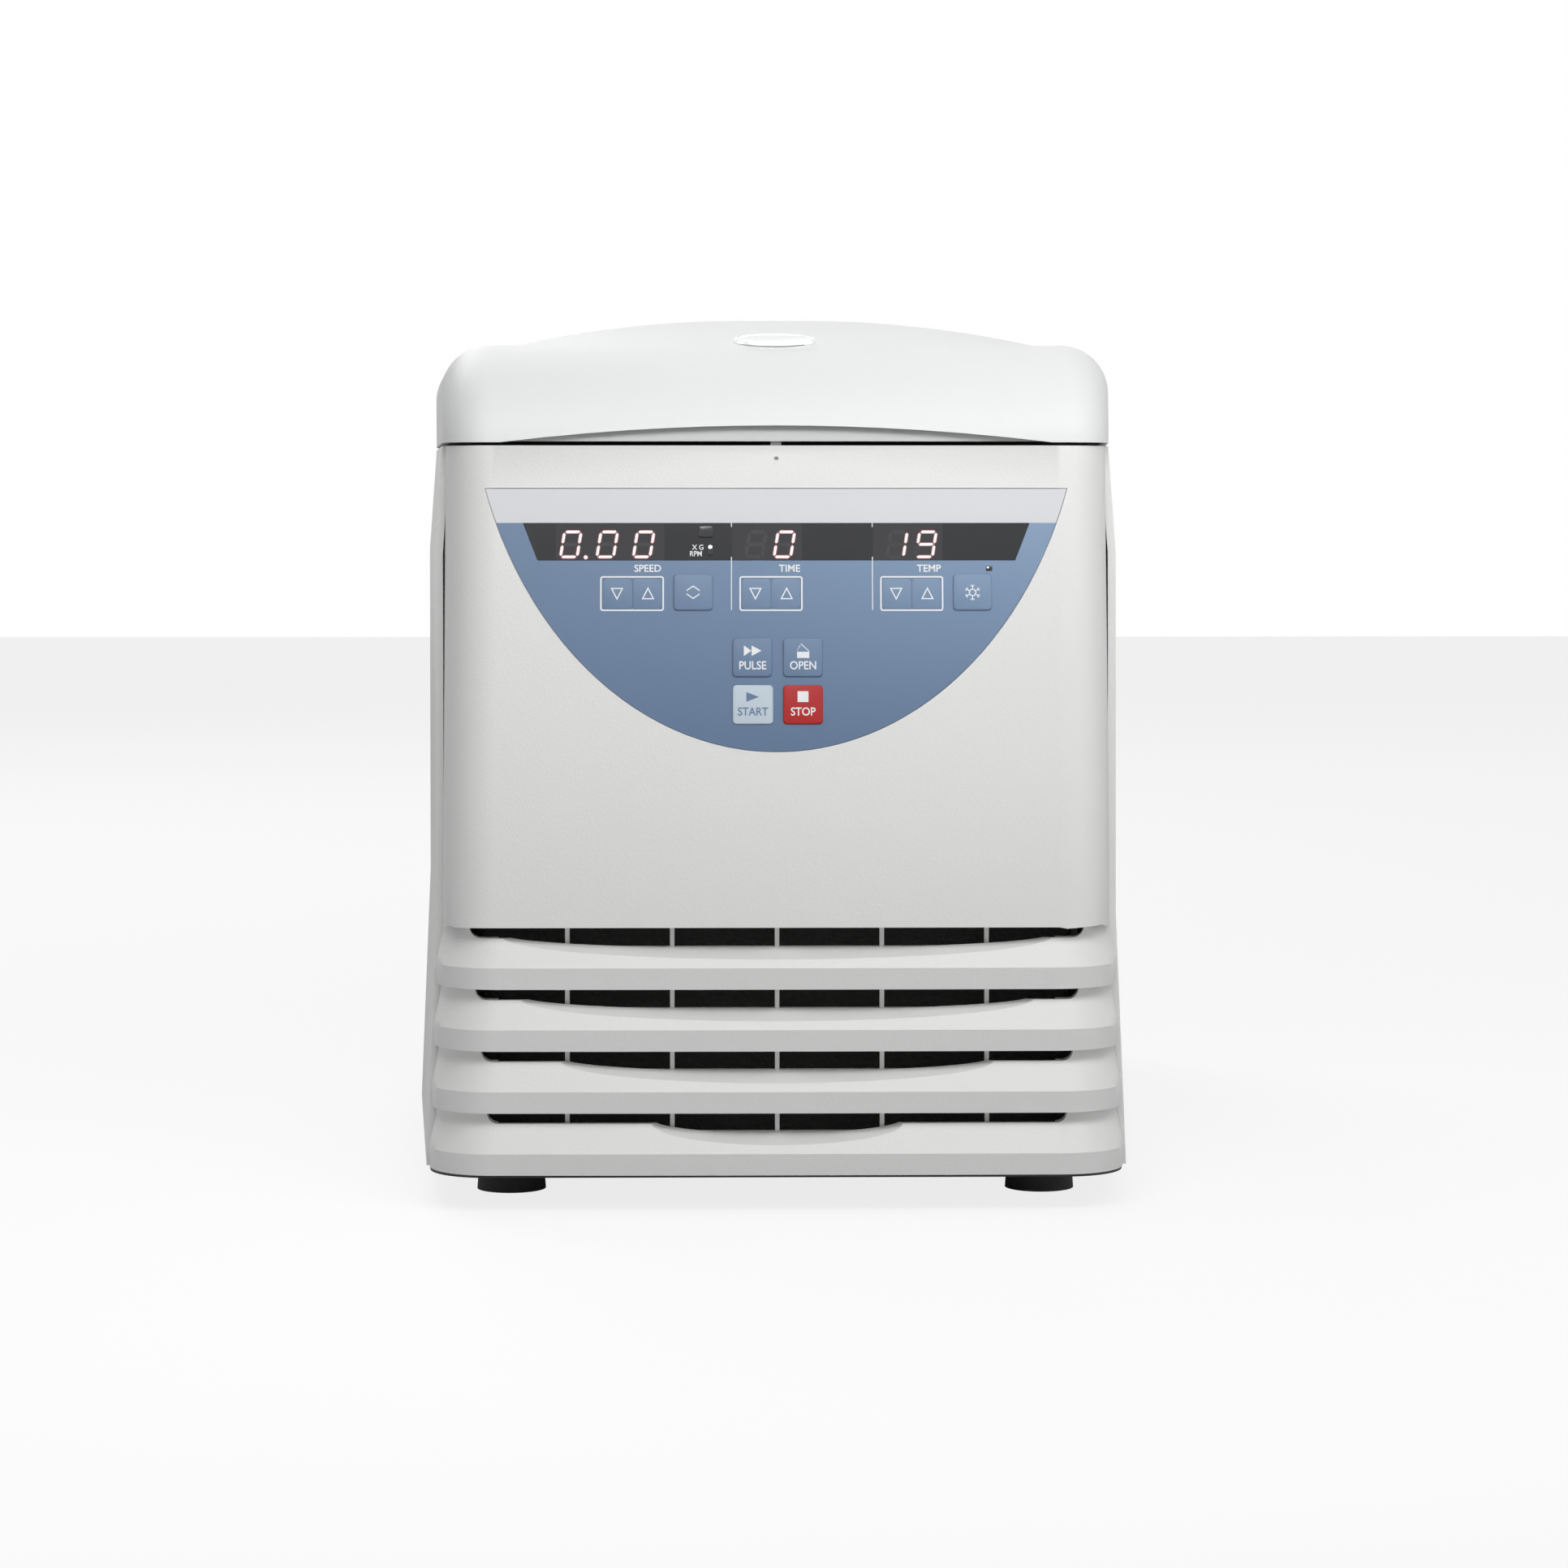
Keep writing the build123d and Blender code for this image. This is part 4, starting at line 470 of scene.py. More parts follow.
@dataclass(frozen=True)
class FacePlane:
    """The leaning key face: x across, v down from its top edge, w out of it, all in millimetres."""

    lean: float = math.radians(10.0)
    top_y: float = -187.94
    top_z: float = 280.0

    def matrix(self) -> Matrix:
        """Returns the transform from face coordinates (x, up, out) in metres to the row frame."""
        across = Vector((1.0, 0.0, 0.0))
        up = Vector((0.0, math.sin(self.lean), math.cos(self.lean)))
        out = Vector((0.0, -math.cos(self.lean), math.sin(self.lean)))
        turn = Matrix((across, up, out)).transposed().to_4x4()
        return Matrix.Translation((0.0, self.top_y * MM, self.top_z * MM)) @ turn


FACE = FacePlane()


class Shape:
    """Flat outlines in millimetres, as lists of points taken anticlockwise."""

    mitre_limit = 0.35

    @staticmethod
    def rounded_box(width: float, height: float, corner: float, steps: int = 5) -> list[Point]:
        """Rectangle about the middle with round corners.

        Args:
            width: Size across.
            height: Size up.
            corner: Corner radius.
            steps: Points on each corner, less one.

        Returns:
            The outline's points.
        """
        made = []
        for quarter, (sx, sy) in enumerate(((1, 1), (-1, 1), (-1, -1), (1, -1))):
            cx, cy = sx * (width / 2 - corner), sy * (height / 2 - corner)
            for step in range(steps + 1):
                angle = math.pi / 2 * (quarter + step / steps)
                made.append((cx + corner * math.cos(angle), cy + corner * math.sin(angle)))
        return made

    @staticmethod
    def circle(radius: float, steps: int = 24) -> list[Point]:
        """Circle about the middle."""
        turns = (2 * math.pi * step / steps for step in range(steps))
        return [(radius * math.cos(turn), radius * math.sin(turn)) for turn in turns]

    @staticmethod
    def moved(points: list[Point], x: float, y: float) -> list[Point]:
        """The same outline, moved."""
        return [(px + x, py + y) for px, py in points]

    @classmethod
    def cushion(
        cls,
        middle: Point,
        size: Point,
        corner: float,
        foot: float,
        edge: float,
        draw: float,
        steps: int = 5,
    ) -> list[list[Vector]]:
        """Loops up the rounded edge of a flat-topped cushion.

        Args:
            middle: Its middle, across and up.
            size: Its size, across and up.
            corner: Its corner radius seen from above.
            foot: Height where the rounding starts.
            edge: Radius of the rounding.
            draw: How much of each inset its corner radius loses.
            steps: Loops, less one.

        Returns:
            Its loops in metres, from the foot to the top.
        """
        loops = []
        for step in range(steps + 1):
            angle = math.pi / 2 * step / steps
            inset = edge * (1 - math.cos(angle))
            w = foot + edge * math.sin(angle)
            outline = cls.rounded_box(size[0] - 2 * inset, size[1] - 2 * inset, corner - inset * draw)
            loops.append([Vector((x, y, w)) * MM for x, y in cls.moved(outline, *middle)])
        return loops

    @staticmethod
    def stroke(points: list[Point], width: float, closed: bool = False) -> list[list[Point]]:
        """Quads along a line of points, mitred where they turn.

        Args:
            points: The line's points.
            width: Width of the stroke.
            closed: Whether the last point joins the first.

        Returns:
            One four-sided outline for each run.
        """
        count = len(points)
        sides = []
        for index, (x, y) in enumerate(points):
            before = points[index - 1] if closed or index else None
            after = points[(index + 1) % count] if closed or index < count - 1 else None
            first = Vector((x - before[0], y - before[1])).normalized() if before else None
            second = Vector((after[0] - x, after[1] - y)).normalized() if after else None
            along = (first + second).normalized() if first and second else (first or second)
            normal = Vector((-along.y, along.x))
            straight = Vector((-second.y, second.x)) if second else normal
            reach = width / 2 / max(normal.dot(straight), Shape.mitre_limit)
            left = (x + normal.x * reach, y + normal.y * reach)
            right = (x - normal.x * reach, y - normal.y * reach)
            sides.append((left, right))
        runs = range(count if closed else count - 1)
        afters = [(i + 1) % count for i in range(count)]
        return [[*sides[i], *reversed(sides[afters[i]])] for i in runs]


@dataclass(frozen=True)
class Label:
    """A piece's name, its finish, the body it rides on and the slot it belongs to."""

    name: str
    finish: Finish
    body: str
    slot: str


class Maker:
    """Turns outlines and profiles into pieces that ride on a body of the frame."""

    sharp_angle = math.radians(38)
    cap_share = 0.729
    letter_swell = 0.014
    letter_thick = 0.02

    @staticmethod
    def finish_piece(label: Label, mesh: bpy.types.Mesh, smooth: bool = False) -> bpy.types.Object:
        """Wraps a mesh as a piece.

        Args:
            label: What the piece is.
            mesh: Its mesh, in the row frame.
            smooth: Whether its faces are shaded smooth up to its sharp edges.

        Returns:
            The new object.
        """
        made = bpy.data.objects.new(label.name, mesh)
        bpy.context.scene.collection.objects.link(made)
        mesh.materials.append(label.finish.material())
        if smooth:
            mesh.shade_smooth()
            mesh.set_sharp_from_angle(angle=Maker.sharp_angle)
        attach(made, label.body)
        LOG.info("%s on %s: %d faces", label.name, label.body, len(mesh.polygons))
        return made

    @staticmethod
    def mesh_of(name: str, shape: bmesh.types.BMesh, plane: Matrix) -> bpy.types.Mesh:
        """Turns a shape into a mesh placed by a plane, with its faces turned outwards.

        Args:
            name: The mesh's name.
            shape: The shape, which is freed.
            plane: Transform to the row frame.

        Returns:
            The new mesh.
        """
        bmesh.ops.recalc_face_normals(shape, faces=shape.faces)
        shape.transform(plane)
        mesh = bpy.data.meshes.new(name)
        shape.to_mesh(mesh)
        shape.free()
        return mesh

    @classmethod
    def prints(
        cls,
        label: Label,
        outlines: list[list[Point]],
        at: float,
        thick: float,
        plane: Matrix | None = None,
    ) -> None:
        """Thin printed or moulded shapes on a plane, closed all round.

        Args:
            label: What the piece is.
            outlines: Convex outlines in millimetres on the plane.
            at: Height of its underside above the plane, in millimetres.
            thick: Its thickness in millimetres.
            plane: The plane, or the key face where none is given.
        """
        shape = bmesh.new()
        for outline in outlines:
            low = [shape.verts.new((x * MM, y * MM, at * MM)) for x, y in outline]
            high = [shape.verts.new((x * MM, y * MM, (at + thick) * MM)) for x, y in outline]
            shape.faces.new(high)
            shape.faces.new(list(reversed(low)))
            for index, corner in enumerate(low):
                after = (index + 1) % len(low)
                shape.faces.new((corner, low[after], high[after], high[index]))
        cls.finish_piece(label, cls.mesh_of(label.name, shape, plane or FACE.matrix()))

    @classmethod
    def rings(
        cls, label: Label, loops: list[list[Vector]], plane: Matrix, capped: bool = True
    ) -> bpy.types.Object:
        """Skin over a stack of loops with equal numbers of points.

        Args:
            label: What the piece is.
            loops: Loops of points in metres, from the first end to the last.
            plane: Transform to the row frame.
            capped: Whether both ends are closed.

        Returns:
            The new object.
        """
        shape = bmesh.new()
        rows = [[shape.verts.new(point) for point in loop] for loop in loops]
        for first, second in zip(rows, rows[1:]):
            for index in range(len(first)):
                after = (index + 1) % len(first)
                shape.faces.new((first[index], first[after], second[after], second[index]))
        if capped:
            shape.faces.new(list(reversed(rows[0])))
            shape.faces.new(rows[-1])
        return cls.finish_piece(label, cls.mesh_of(label.name, shape, plane), smooth=True)

    @classmethod
    def lettering(
        cls, label: Label, words: str, height: float, x: float, up: float, at: float, narrow: float
    ) -> None:
        """Plain printed capitals, centred on a point of the key face.

        Args:
            label: What the piece is.
            words: What is printed.
            height: Height of a capital in millimetres.
            x: Middle of the words, across.
            up: Middle of the words, upwards on the face.
            at: Height of its underside above the face, in millimetres.
            narrow: Width as a share of the plain letter's.
        """
        curve = bpy.data.curves.new(label.name, "FONT")
        curve.body = words
        curve.size = height / cls.cap_share * MM
        curve.align_x = "CENTER"
        curve.extrude = cls.letter_thick * MM
        curve.offset = cls.letter_swell * height / cls.cap_share * MM
        curve.resolution_u = 4
        text = bpy.data.objects.new(label.name, curve)
        bpy.context.scene.collection.objects.link(text)
        bpy.context.view_layer.update()
        mesh = bpy.data.meshes.new_from_object(text.evaluated_get(bpy.context.evaluated_depsgraph_get()))
        bpy.data.objects.remove(text)
        bpy.data.curves.remove(curve)
        mesh.materials.clear()
        place = Matrix.Translation((x * MM, (up - height / 2) * MM, (at + cls.letter_thick) * MM))
        squeeze = Matrix.Diagonal((narrow, 1.0, 1.0, 1.0))
        mesh.transform(FACE.matrix() @ place @ squeeze)
        mesh.name = label.name
        cls.finish_piece(label, mesh)


@dataclass
class Casing:
    """Finishes of the carried-over nodes."""

    finishes: dict[Finish, tuple[str, ...]] = field(
        default_factory=lambda: {
            CASING: ("housing", "front_panel"),
            HOOD: ("lid_shell",),
            LINER: ("lid_liner",),
            # The base plate's near-black is painted shade for the gap under the unit.
            BASE_PAINTED_SHADE: ("base_plate",),
            RUBBER: ("feet", "chamber_gasket", "motor_dampers"),
            FILTER_MESH: ("intake_filter",),
            REAR_STEEL: ("rear_panel",),
            CHROME: ("lid_bezel",),
            PORT_PAINTED_REFLECTION: ("lid_lens",),
            STAINLESS: ("chamber_bowl",),
            DECK_STEEL: ("top_deck",),
            FOAM: ("insulation",),
            COPPER: ("evaporator_coil", "refrigerant_lines"),
            FIN_STOCK: ("condenser",),
            ALUMINIUM: ("rotor",),
            ANODISED: ("rotor_lid",),
            STEEL: (
                "motor_plate",
                "latch_housing",
                "rotor_nut",
                "hinge_brackets",
                "hinge_pins",
                "hinge_arms",
                "lid_striker",
                "latch_bolt",
                "motor_shaft",
                "motor_posts",
            ),
            BLACK_MOULDING_AND_SHADE: ("mains_inlet", "switch_body", "power_rocker", "fan_frame", "fan_impeller"),
            MOTOR_PAINT: ("motor",),
            COMPRESSOR_PAINT: ("compressor",),
            BOARD: ("display_board", "main_board"),
            LENS_BAND: ("display_lens",),
            GLASS_DARK: ("led_displays",),
            FILM: ("keypad_overlay",),
        }
    )
    crease_angle: float = math.radians(32)
    weld_distance: float = 0.001 * MM

    def smoother(self) -> NodeTree:
        """Modifier nodes that weld the mesh and shade it smooth up to its sharp edges."""
        tree = bpy.data.node_groups.new("soft_shading", "GeometryNodeTree")
        for way in ("INPUT", "OUTPUT"):
            tree.interface.new_socket("Geometry", in_out=way, socket_type="NodeSocketGeometry")
        graph = Graph(tree)
        given, made = graph.add("NodeGroupInput"), graph.add("NodeGroupOutput")
        weld = graph.add("GeometryNodeMergeByDistance", {"Distance": self.weld_distance})
        faces = graph.add("GeometryNodeSetShadeSmooth", domain="FACE")
        edges = graph.add("GeometryNodeSetShadeSmooth", {"Shade Smooth": False}, domain="EDGE")
        angle = graph.add("GeometryNodeInputMeshEdgeAngle")
        sharp = graph.add(
            "FunctionNodeCompare", {"B": self.crease_angle}, data_type="FLOAT", operation="GREATER_THAN"
        )
        graph.link(
            (given, 0, weld, "Geometry"),
            (weld, "Geometry", faces, "Geometry"),
            (faces, "Geometry", edges, "Geometry"),
            (angle, "Unsigned Angle", sharp, "A"),
            (sharp, "Result", edges, "Selection"),
            (edges, "Geometry", made, 0),
        )
        return tree

    def dress(self) -> None:
        """Gives each carried-over node named in the table its finish and soft shading."""
        tree = self.smoother()
        chosen = {name: finish for finish, names in self.finishes.items() for name in names}
        for name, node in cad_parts.items():
            finish = chosen.get(name)
            if finish is None:
                continue
            node.data.materials.clear()
            node.data.materials.append(finish.material())
            modifier = node.modifiers.new("soft_shading", "NODES")
            modifier.node_group = tree
            LOG.info("%s dressed as %s", name, finish.name)


@dataclass
class Keypad:
    """Key caps, printed signs and lettering on the leaning face."""

    film_w: float = -0.3
    cap_proud: float = 0.35
    cap_round: float = 0.45
    flat_round: float = 0.04
    grow: float = 0.17
    cap_corner: float = 1.45
    cap_underside: float = -1.05
    corner_draw: float = 0.7
    ink: float = 0.03
    sink: float = 0.005
    line: float = 0.55
    caps: dict[str, tuple[float, float, float, float]] = field(
        default_factory=lambda: {
            "speed_mode": (-30.7, 54.8, 14.0, 13.0),
            "precool": (72.1, 54.8, 13.8, 13.0),
            "pulse": (-9.0, 79.0, 14.1, 13.9),
            "open": (9.6, 79.0, 14.1, 13.9),
            "start": (-8.8, 96.4, 14.5, 14.1),
            "stop": (9.6, 96.4, 14.2, 14.1),
        }
    )
    arrows: dict[str, float] = field(
        default_factory=lambda: {
            "speed_down": -58.4,
            "speed_up": -47.6,
            "time_down": -7.5,
            "time_up": 3.4,
            "temp_down": 44.3,
            "temp_up": 55.2,
        }
    )
    arrow_v: float = 55.2
    arrow_size: Point = (10.4, 11.0)
    arrow_shift: float = 0.3

    def cap(self, key: str, box: tuple[float, float, float, float], rise: float, edge: float) -> None:
        """One soft-edged key cap that takes the place of its plain solid.

        Args:
            key: The key's name.
            box: Middle of the key across and down the face, then its size across and up.
            rise: Height of its top above the face.
            edge: Radius of the soft edge round its top.
        """
        x, v, width, height = box
        size = (width + 2 * self.grow, height + 2 * self.grow)
        outline = Shape.moved(Shape.rounded_box(*size, self.cap_corner), x, -v)
        loops = [[Vector((px, py, self.cap_underside)) * MM for px, py in outline]]
        loops += Shape.cushion((x, -v), size, self.cap_corner, rise - edge, edge, self.corner_draw)
        finish = {"start": START_FILM, "stop": STOP_FILM}.get(key, FILM)
        slot = {"start": "start_key", "stop": "stop_key"}.get(key, "key_film")
        made = Maker.rings(Label(f"cap_{key}", finish, f"key_{key}", slot), loops, FACE.matrix())
        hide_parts(f"key_{key}")

    def sign(self, key: str, outlines: list[list[Point]], x: float, v: float, rise: float) -> None:
        """Printed sign on a key, which moves with it.

        Args:
            key: The key's name.
            outlines: The sign's shapes about its own middle.
            x: Middle of the sign, across.
            v: Middle of the sign, down the face.
            rise: Height of the key's top above the face.
        """
        placed = [Shape.moved(outline, x, -v) for outline in outlines]
        ink = BLUE_INK if key == "start" else WHITE_INK
        label = Label(f"sign_{key}", ink, f"key_{key}", "key_film")
        Maker.prints(label, placed, rise - self.sink, self.ink)

    def build(self) -> None:
        """Builds every cap, sign and label."""
        for key, box in self.caps.items():
            self.cap(key, box, self.cap_proud, self.cap_round)
        for key, x in self.arrows.items():
            self.cap(key, (x, self.arrow_v, *self.arrow_size), self.film_w, self.flat_round)
            point = 1 if key.endswith("up") else -1
            tip = [(-2.0, -1.9 * point), (2.0, -1.9 * point), (0.0, 2.0 * point)]
            outlines = Shape.stroke(tip, 0.42, closed=True)
            self.sign(key, outlines, x + self.arrow_shift * point, self.arrow_v, self.film_w)
        self.key_signs()
        self.key_words()
        self.film_print()

    def key_signs(self) -> None:
        """Signs of the six larger keys."""
        top = self.cap_proud
        chevrons = Shape.stroke([(-2.4, 0.7), (0.0, 2.4), (2.4, 0.7)], 0.4)
        chevrons += Shape.stroke([(-2.4, -0.5), (0.0, -2.2), (2.4, -0.5)], 0.4)
        self.sign("speed_mode", chevrons, -30.7, 54.9, top)
        self.sign("precool", self.snowflake(), 72.1, 54.9, top)
        forward = [[(-3.2, -1.95), (-0.4, 0.0), (-3.2, 1.95)], [(-0.35, -1.95), (3.3, 0.0), (-0.35, 1.95)]]
        self.sign("pulse", forward, -8.9, 76.5, top)
        self.sign("open", self.open_hood(), 9.7, 76.6, top)
        self.sign("start", [[(-2.3, -1.8), (2.3, 0.0), (-2.3, 1.8)]], -8.9, 93.6, top)
        self.sign("stop", [Shape.rounded_box(4.0, 4.0, 0.1, 2)], 9.6, 93.5, top)

    @staticmethod
    def snowflake() -> list[list[Point]]:
        """Six-armed snow crystal."""
        made = Shape.stroke(Shape.circle(1.3, 6), 0.36, closed=True)
        for arm in range(6):
            turn = math.radians(60 * arm + 30)
            out = Vector((math.cos(turn), math.sin(turn)))
            side = Vector((-out.y, out.x))
            inner, outer, fork = out * 1.2, out * 2.95, out * 2.1
            made += Shape.stroke([tuple(inner), tuple(outer)], 0.34)
            for way in (-1, 1):
                tip = fork + (out * 0.6 + side * way * 0.7)
                made += Shape.stroke([tuple(fork), tuple(tip)], 0.28)
        return made

    @staticmethod
    def open_hood() -> list[list[Point]]:
        """A box with its hood swung up."""
        made = [[(-2.25, -2.6), (2.25, -2.6), (2.25, -0.3), (-2.25, -0.3)]]
        made += Shape.stroke([(2.2, -0.15), (-0.9, 2.7)], 0.3)
        sweep = [(-2.1 + 0.75 * (t / 6) ** 1.6, 0.1 + 1.6 * t / 6) for t in range(7)]
        made += Shape.stroke(sweep, 0.14)
        made.append([(-1.65, 1.35), (-1.05, 1.55), (-1.3, 2.2)])
        return made

    def key_words(self) -> None:
        """Plain function words under the four lower signs."""
        for key, words, x, v in (
            ("pulse", "PULSE", -8.9, 81.8),
            ("open", "OPEN", 9.7, 81.8),
            ("start", "START", -8.8, 98.9),
            ("stop", "STOP", 9.6, 98.9),
        ):
            ink = BLUE_INK if key == "start" else WHITE_INK
            label = Label(f"word_{key}", ink, f"key_{key}", "key_film")
            Maker.lettering(label, words, 3.1, x, -v, self.cap_proud - self.sink, 0.9)

    def film_print(self) -> None:
        """White frames, dividers and words on the film."""
        frames = []
        for left, right in ((-64.6, -41.7), (-13.4, 9.3), (38.4, 61.1)):
            box = Shape.rounded_box(right - left, 12.4, 0.7, 3)
            frames += Shape.stroke(Shape.moved(box, (left + right) / 2, -55.2), self.line, closed=True)
        for x in (-16.6, 35.3):
            frames += Shape.stroke([(x, -41.5), (x, -61.3)], 0.32)
            frames += Shape.stroke([(x, -28.6), (x, -30.4)], 0.32)
        at = self.film_w - self.sink
        Maker.prints(Label("print_frames", WHITE_INK, "root", "key_film"), frames, at, self.ink)
        for name, words, height, x, v, narrow in (
            ("speed", "SPEED", 2.75, -47.4, 45.7, 0.98),
            ("time", "TIME", 2.75, 4.8, 45.7, 0.98),
            ("temp", "TEMP", 2.75, 56.1, 45.7, 0.98),
            ("force", "X G", 2.0, -28.9, 37.9, 0.9),
            ("rate", "RPM", 2.0, -29.7, 40.3, 0.9),
        ):
            label = Label(f"label_{name}", WHITE_INK, "root", "key_film")
            Maker.lettering(label, words, height, x, -v, at, narrow)


@dataclass
class Display:
    """Windows, seven-segment figures and lamps in the dark strip."""

    film_w: float = -0.3
    windows: tuple[tuple[float, float], ...] = ((-81.2, -41.3), (-16.3, 9.4), (35.6, 61.2))
    window_top: float = 29.0
    window_bottom: float = 42.8
    digit_width: float = 7.4
    digit_height: float = 10.6
    digit_slant: float = 0.16
    segment: float = 1.3
    segment_gap: float = 0.18
    core_shrink: float = 0.3
    digits: tuple[tuple[float, str], ...] = (
        (-75.7, "abcdef"),
        (-62.3, "abcdef"),
        (-48.9, "abcdef"),
        (2.9, "abcdef"),
        (-7.6, ""),
        (44.4, "bc"),
        (55.1, "abcdfg"),
    )
    digit_v: float = 36.9
    seat: float = 0.02
    corner_draw: float = 0.8

    def segments(self, shrink: float) -> dict[str, list[Point]]:
        """Outlines of the seven bars about a figure's middle, slanted.

        Args:
            shrink: How far each bar is drawn in, for its bright core.

        Returns:
            One outline for each bar's letter.
        """
        half_x = (self.digit_width - self.segment) / 2
        half_y = (self.digit_height - self.segment) / 2
        reach = self.segment / 2 - shrink
        gap = self.segment_gap + shrink * 1.2
        spans = {
            "a": ((-half_x, half_y), (half_x, half_y)),
            "b": ((half_x, half_y), (half_x, 0.0)),
            "c": ((half_x, 0.0), (half_x, -half_y)),
            "d": ((-half_x, -half_y), (half_x, -half_y)),
            "e": ((-half_x, 0.0), (-half_x, -half_y)),
            "f": ((-half_x, half_y), (-half_x, 0.0)),
            "g": ((-half_x, 0.0), (half_x, 0.0)),
        }
        made = {}
        for letter, (start, end) in spans.items():
            first, last = Vector(start), Vector(end)
            along = (last - first).normalized()
            side = Vector((-along.y, along.x)) * reach
            near, far = first + along * gap, last - along * gap
            bar = (
                near,
                near + along * reach - side,
                far - along * reach - side,
                far,
                far - along * reach + side,
                near + along * reach + side,
            )
            made[letter] = [(p.x + p.y * self.digit_slant, p.y) for p in bar]
        return made

    def build(self) -> None:
        """Builds the windows, the figures and the lamps."""
        height = self.window_bottom - self.window_top
        panes = []
        for left, right in self.windows:
            pane = Shape.rounded_box(right - left, height, 0.1, 1)
            panes.append(Shape.moved(pane, (left + right) / 2, -(self.window_top + self.window_bottom) / 2))
        label = Label("display_panes", LENS_WINDOW, "root", "display_glass")
        Maker.prints(label, panes, self.film_w - 0.01, 0.02)
        outer, core, dark = [], [], []
        wide, slim = self.segments(0.0), self.segments(self.core_shrink)
        for x, lit in self.digits:
            for letter in "abcdefg":
                if letter in lit:
                    outer.append(Shape.moved(wide[letter], x, -self.digit_v))
                    core.append(Shape.moved(slim[letter], x, -self.digit_v))
                else:
                    dark.append(Shape.moved(wide[letter], x, -self.digit_v))
        outer.append(Shape.moved(Shape.circle(0.85, 16), -70.2, -41.7))
        core.append(Shape.moved(Shape.circle(0.62, 16), -70.2, -41.7))
        for name, bars, finish, lift, thick in (
            ("figures_unlit", dark, DIGIT_DARK, 0.01, 0.01),
            ("figures_edge", outer, DIGIT_EDGE, 0.01, 0.02),
            ("figures_lit", core, DIGIT_LIT, 0.025, 0.02),
        ):
            label = Label(name, finish, "root", "display_modules")
            Maker.prints(label, bars, self.film_w + lift, thick)
        self.lamps()

    def lamps(self) -> None:
        """Sensor window, unit lamp and cooling lamp."""
        for name, middle, size, corner, proud in (
            ("sensor_window", (-26.1, -32.2), (5.4, 4.6), 1.0, 0.5),
            ("unit_lamp", (-24.4, -39.1), (2.2, 4.0), 1.0, 0.35),
            ("cooling_lamp", (78.3, -45.9), (2.4, 1.8), 0.4, 0.3),
        ):
            loops = Shape.cushion(middle, size, corner, self.film_w - self.seat, proud, self.corner_draw)
            Maker.rings(Label(name, GLASS_DARK, "root", "display_glass"), loops, FACE.matrix())
        dots = [
            Shape.moved(Shape.rounded_box(1.4, 1.3, 0.5, 3), -24.4, -37.9),
            Shape.moved(Shape.rounded_box(0.7, 0.5, 0.2, 3), 77.8, -45.6),
        ]
        Maker.prints(Label("lamp_cores", LAMP_LIT, "root", "display_modules"), dots, 0.03, 0.05)


@dataclass
class Badge:
    """Domed clear port, near-white as a painted reflection, and its raised bright rim on the hood's sloping
    front.
    """

    centre: tuple[float, float, float] = (0.0, -146.0, 319.4)
    lean: float = math.radians(20.2)
    half_x: float = 15.8
    half_y: float = 6.4
    rim: tuple[tuple[float, float], ...] = (
        (0.2, -0.8),
        (0.0, 0.1),
        (0.15, 0.7),
        (0.55, 1.35),
        (1.05, 1.75),
        (1.45, 1.85),
        (1.8, 1.6),
        (2.0, 0.9),
        (2.05, -0.6),
    )
    dome: tuple[tuple[float, float], ...] = (
        (2.0, -0.9),
        (2.0, 1.25),
        (2.2, 1.55),
        (2.7, 1.85),
        (3.5, 2.1),
        (4.6, 2.25),
        (5.8, 2.3),
    )

    def plane(self) -> Matrix:
        """Returns the transform from the port's own coordinates to the row frame."""
        turn = Matrix.Rotation(self.lean, 4, "X")
        return Matrix.Translation(Vector(self.centre) * MM) @ turn

    def loop(self, inset: float, w: float, count: int = 72) -> list[Vector]:
        """Oval drawn in from the rim's outline.

        Args:
            inset: How far it is drawn in.
            w: Its height above the hood.
            count: How many points it has.

        Returns:
            Its points in metres.
        """
        turns = [2 * math.pi * index / count for index in range(count)]
        wide, deep = self.half_x - inset, self.half_y - inset
        return [Vector((wide * math.cos(turn), deep * math.sin(turn), w)) * MM for turn in turns]

    def build(self) -> None:
        """Builds the rim and the port in place of their plain solids."""
        loops = [self.loop(*step) for step in self.rim]
        rim = Maker.rings(Label("port_rim", CHROME, "lid", "chrome"), loops, self.plane(), capped=False)
        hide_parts("lid_bezel")
        # The dome's near-white is a painted reflection; the port is a clear window.
        loops = [self.loop(*step) for step in self.dome]
        dome = Maker.rings(Label("port_dome", PORT_PAINTED_REFLECTION, "lid", "clear_lens"), loops, self.plane())
        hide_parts("lid_lens")


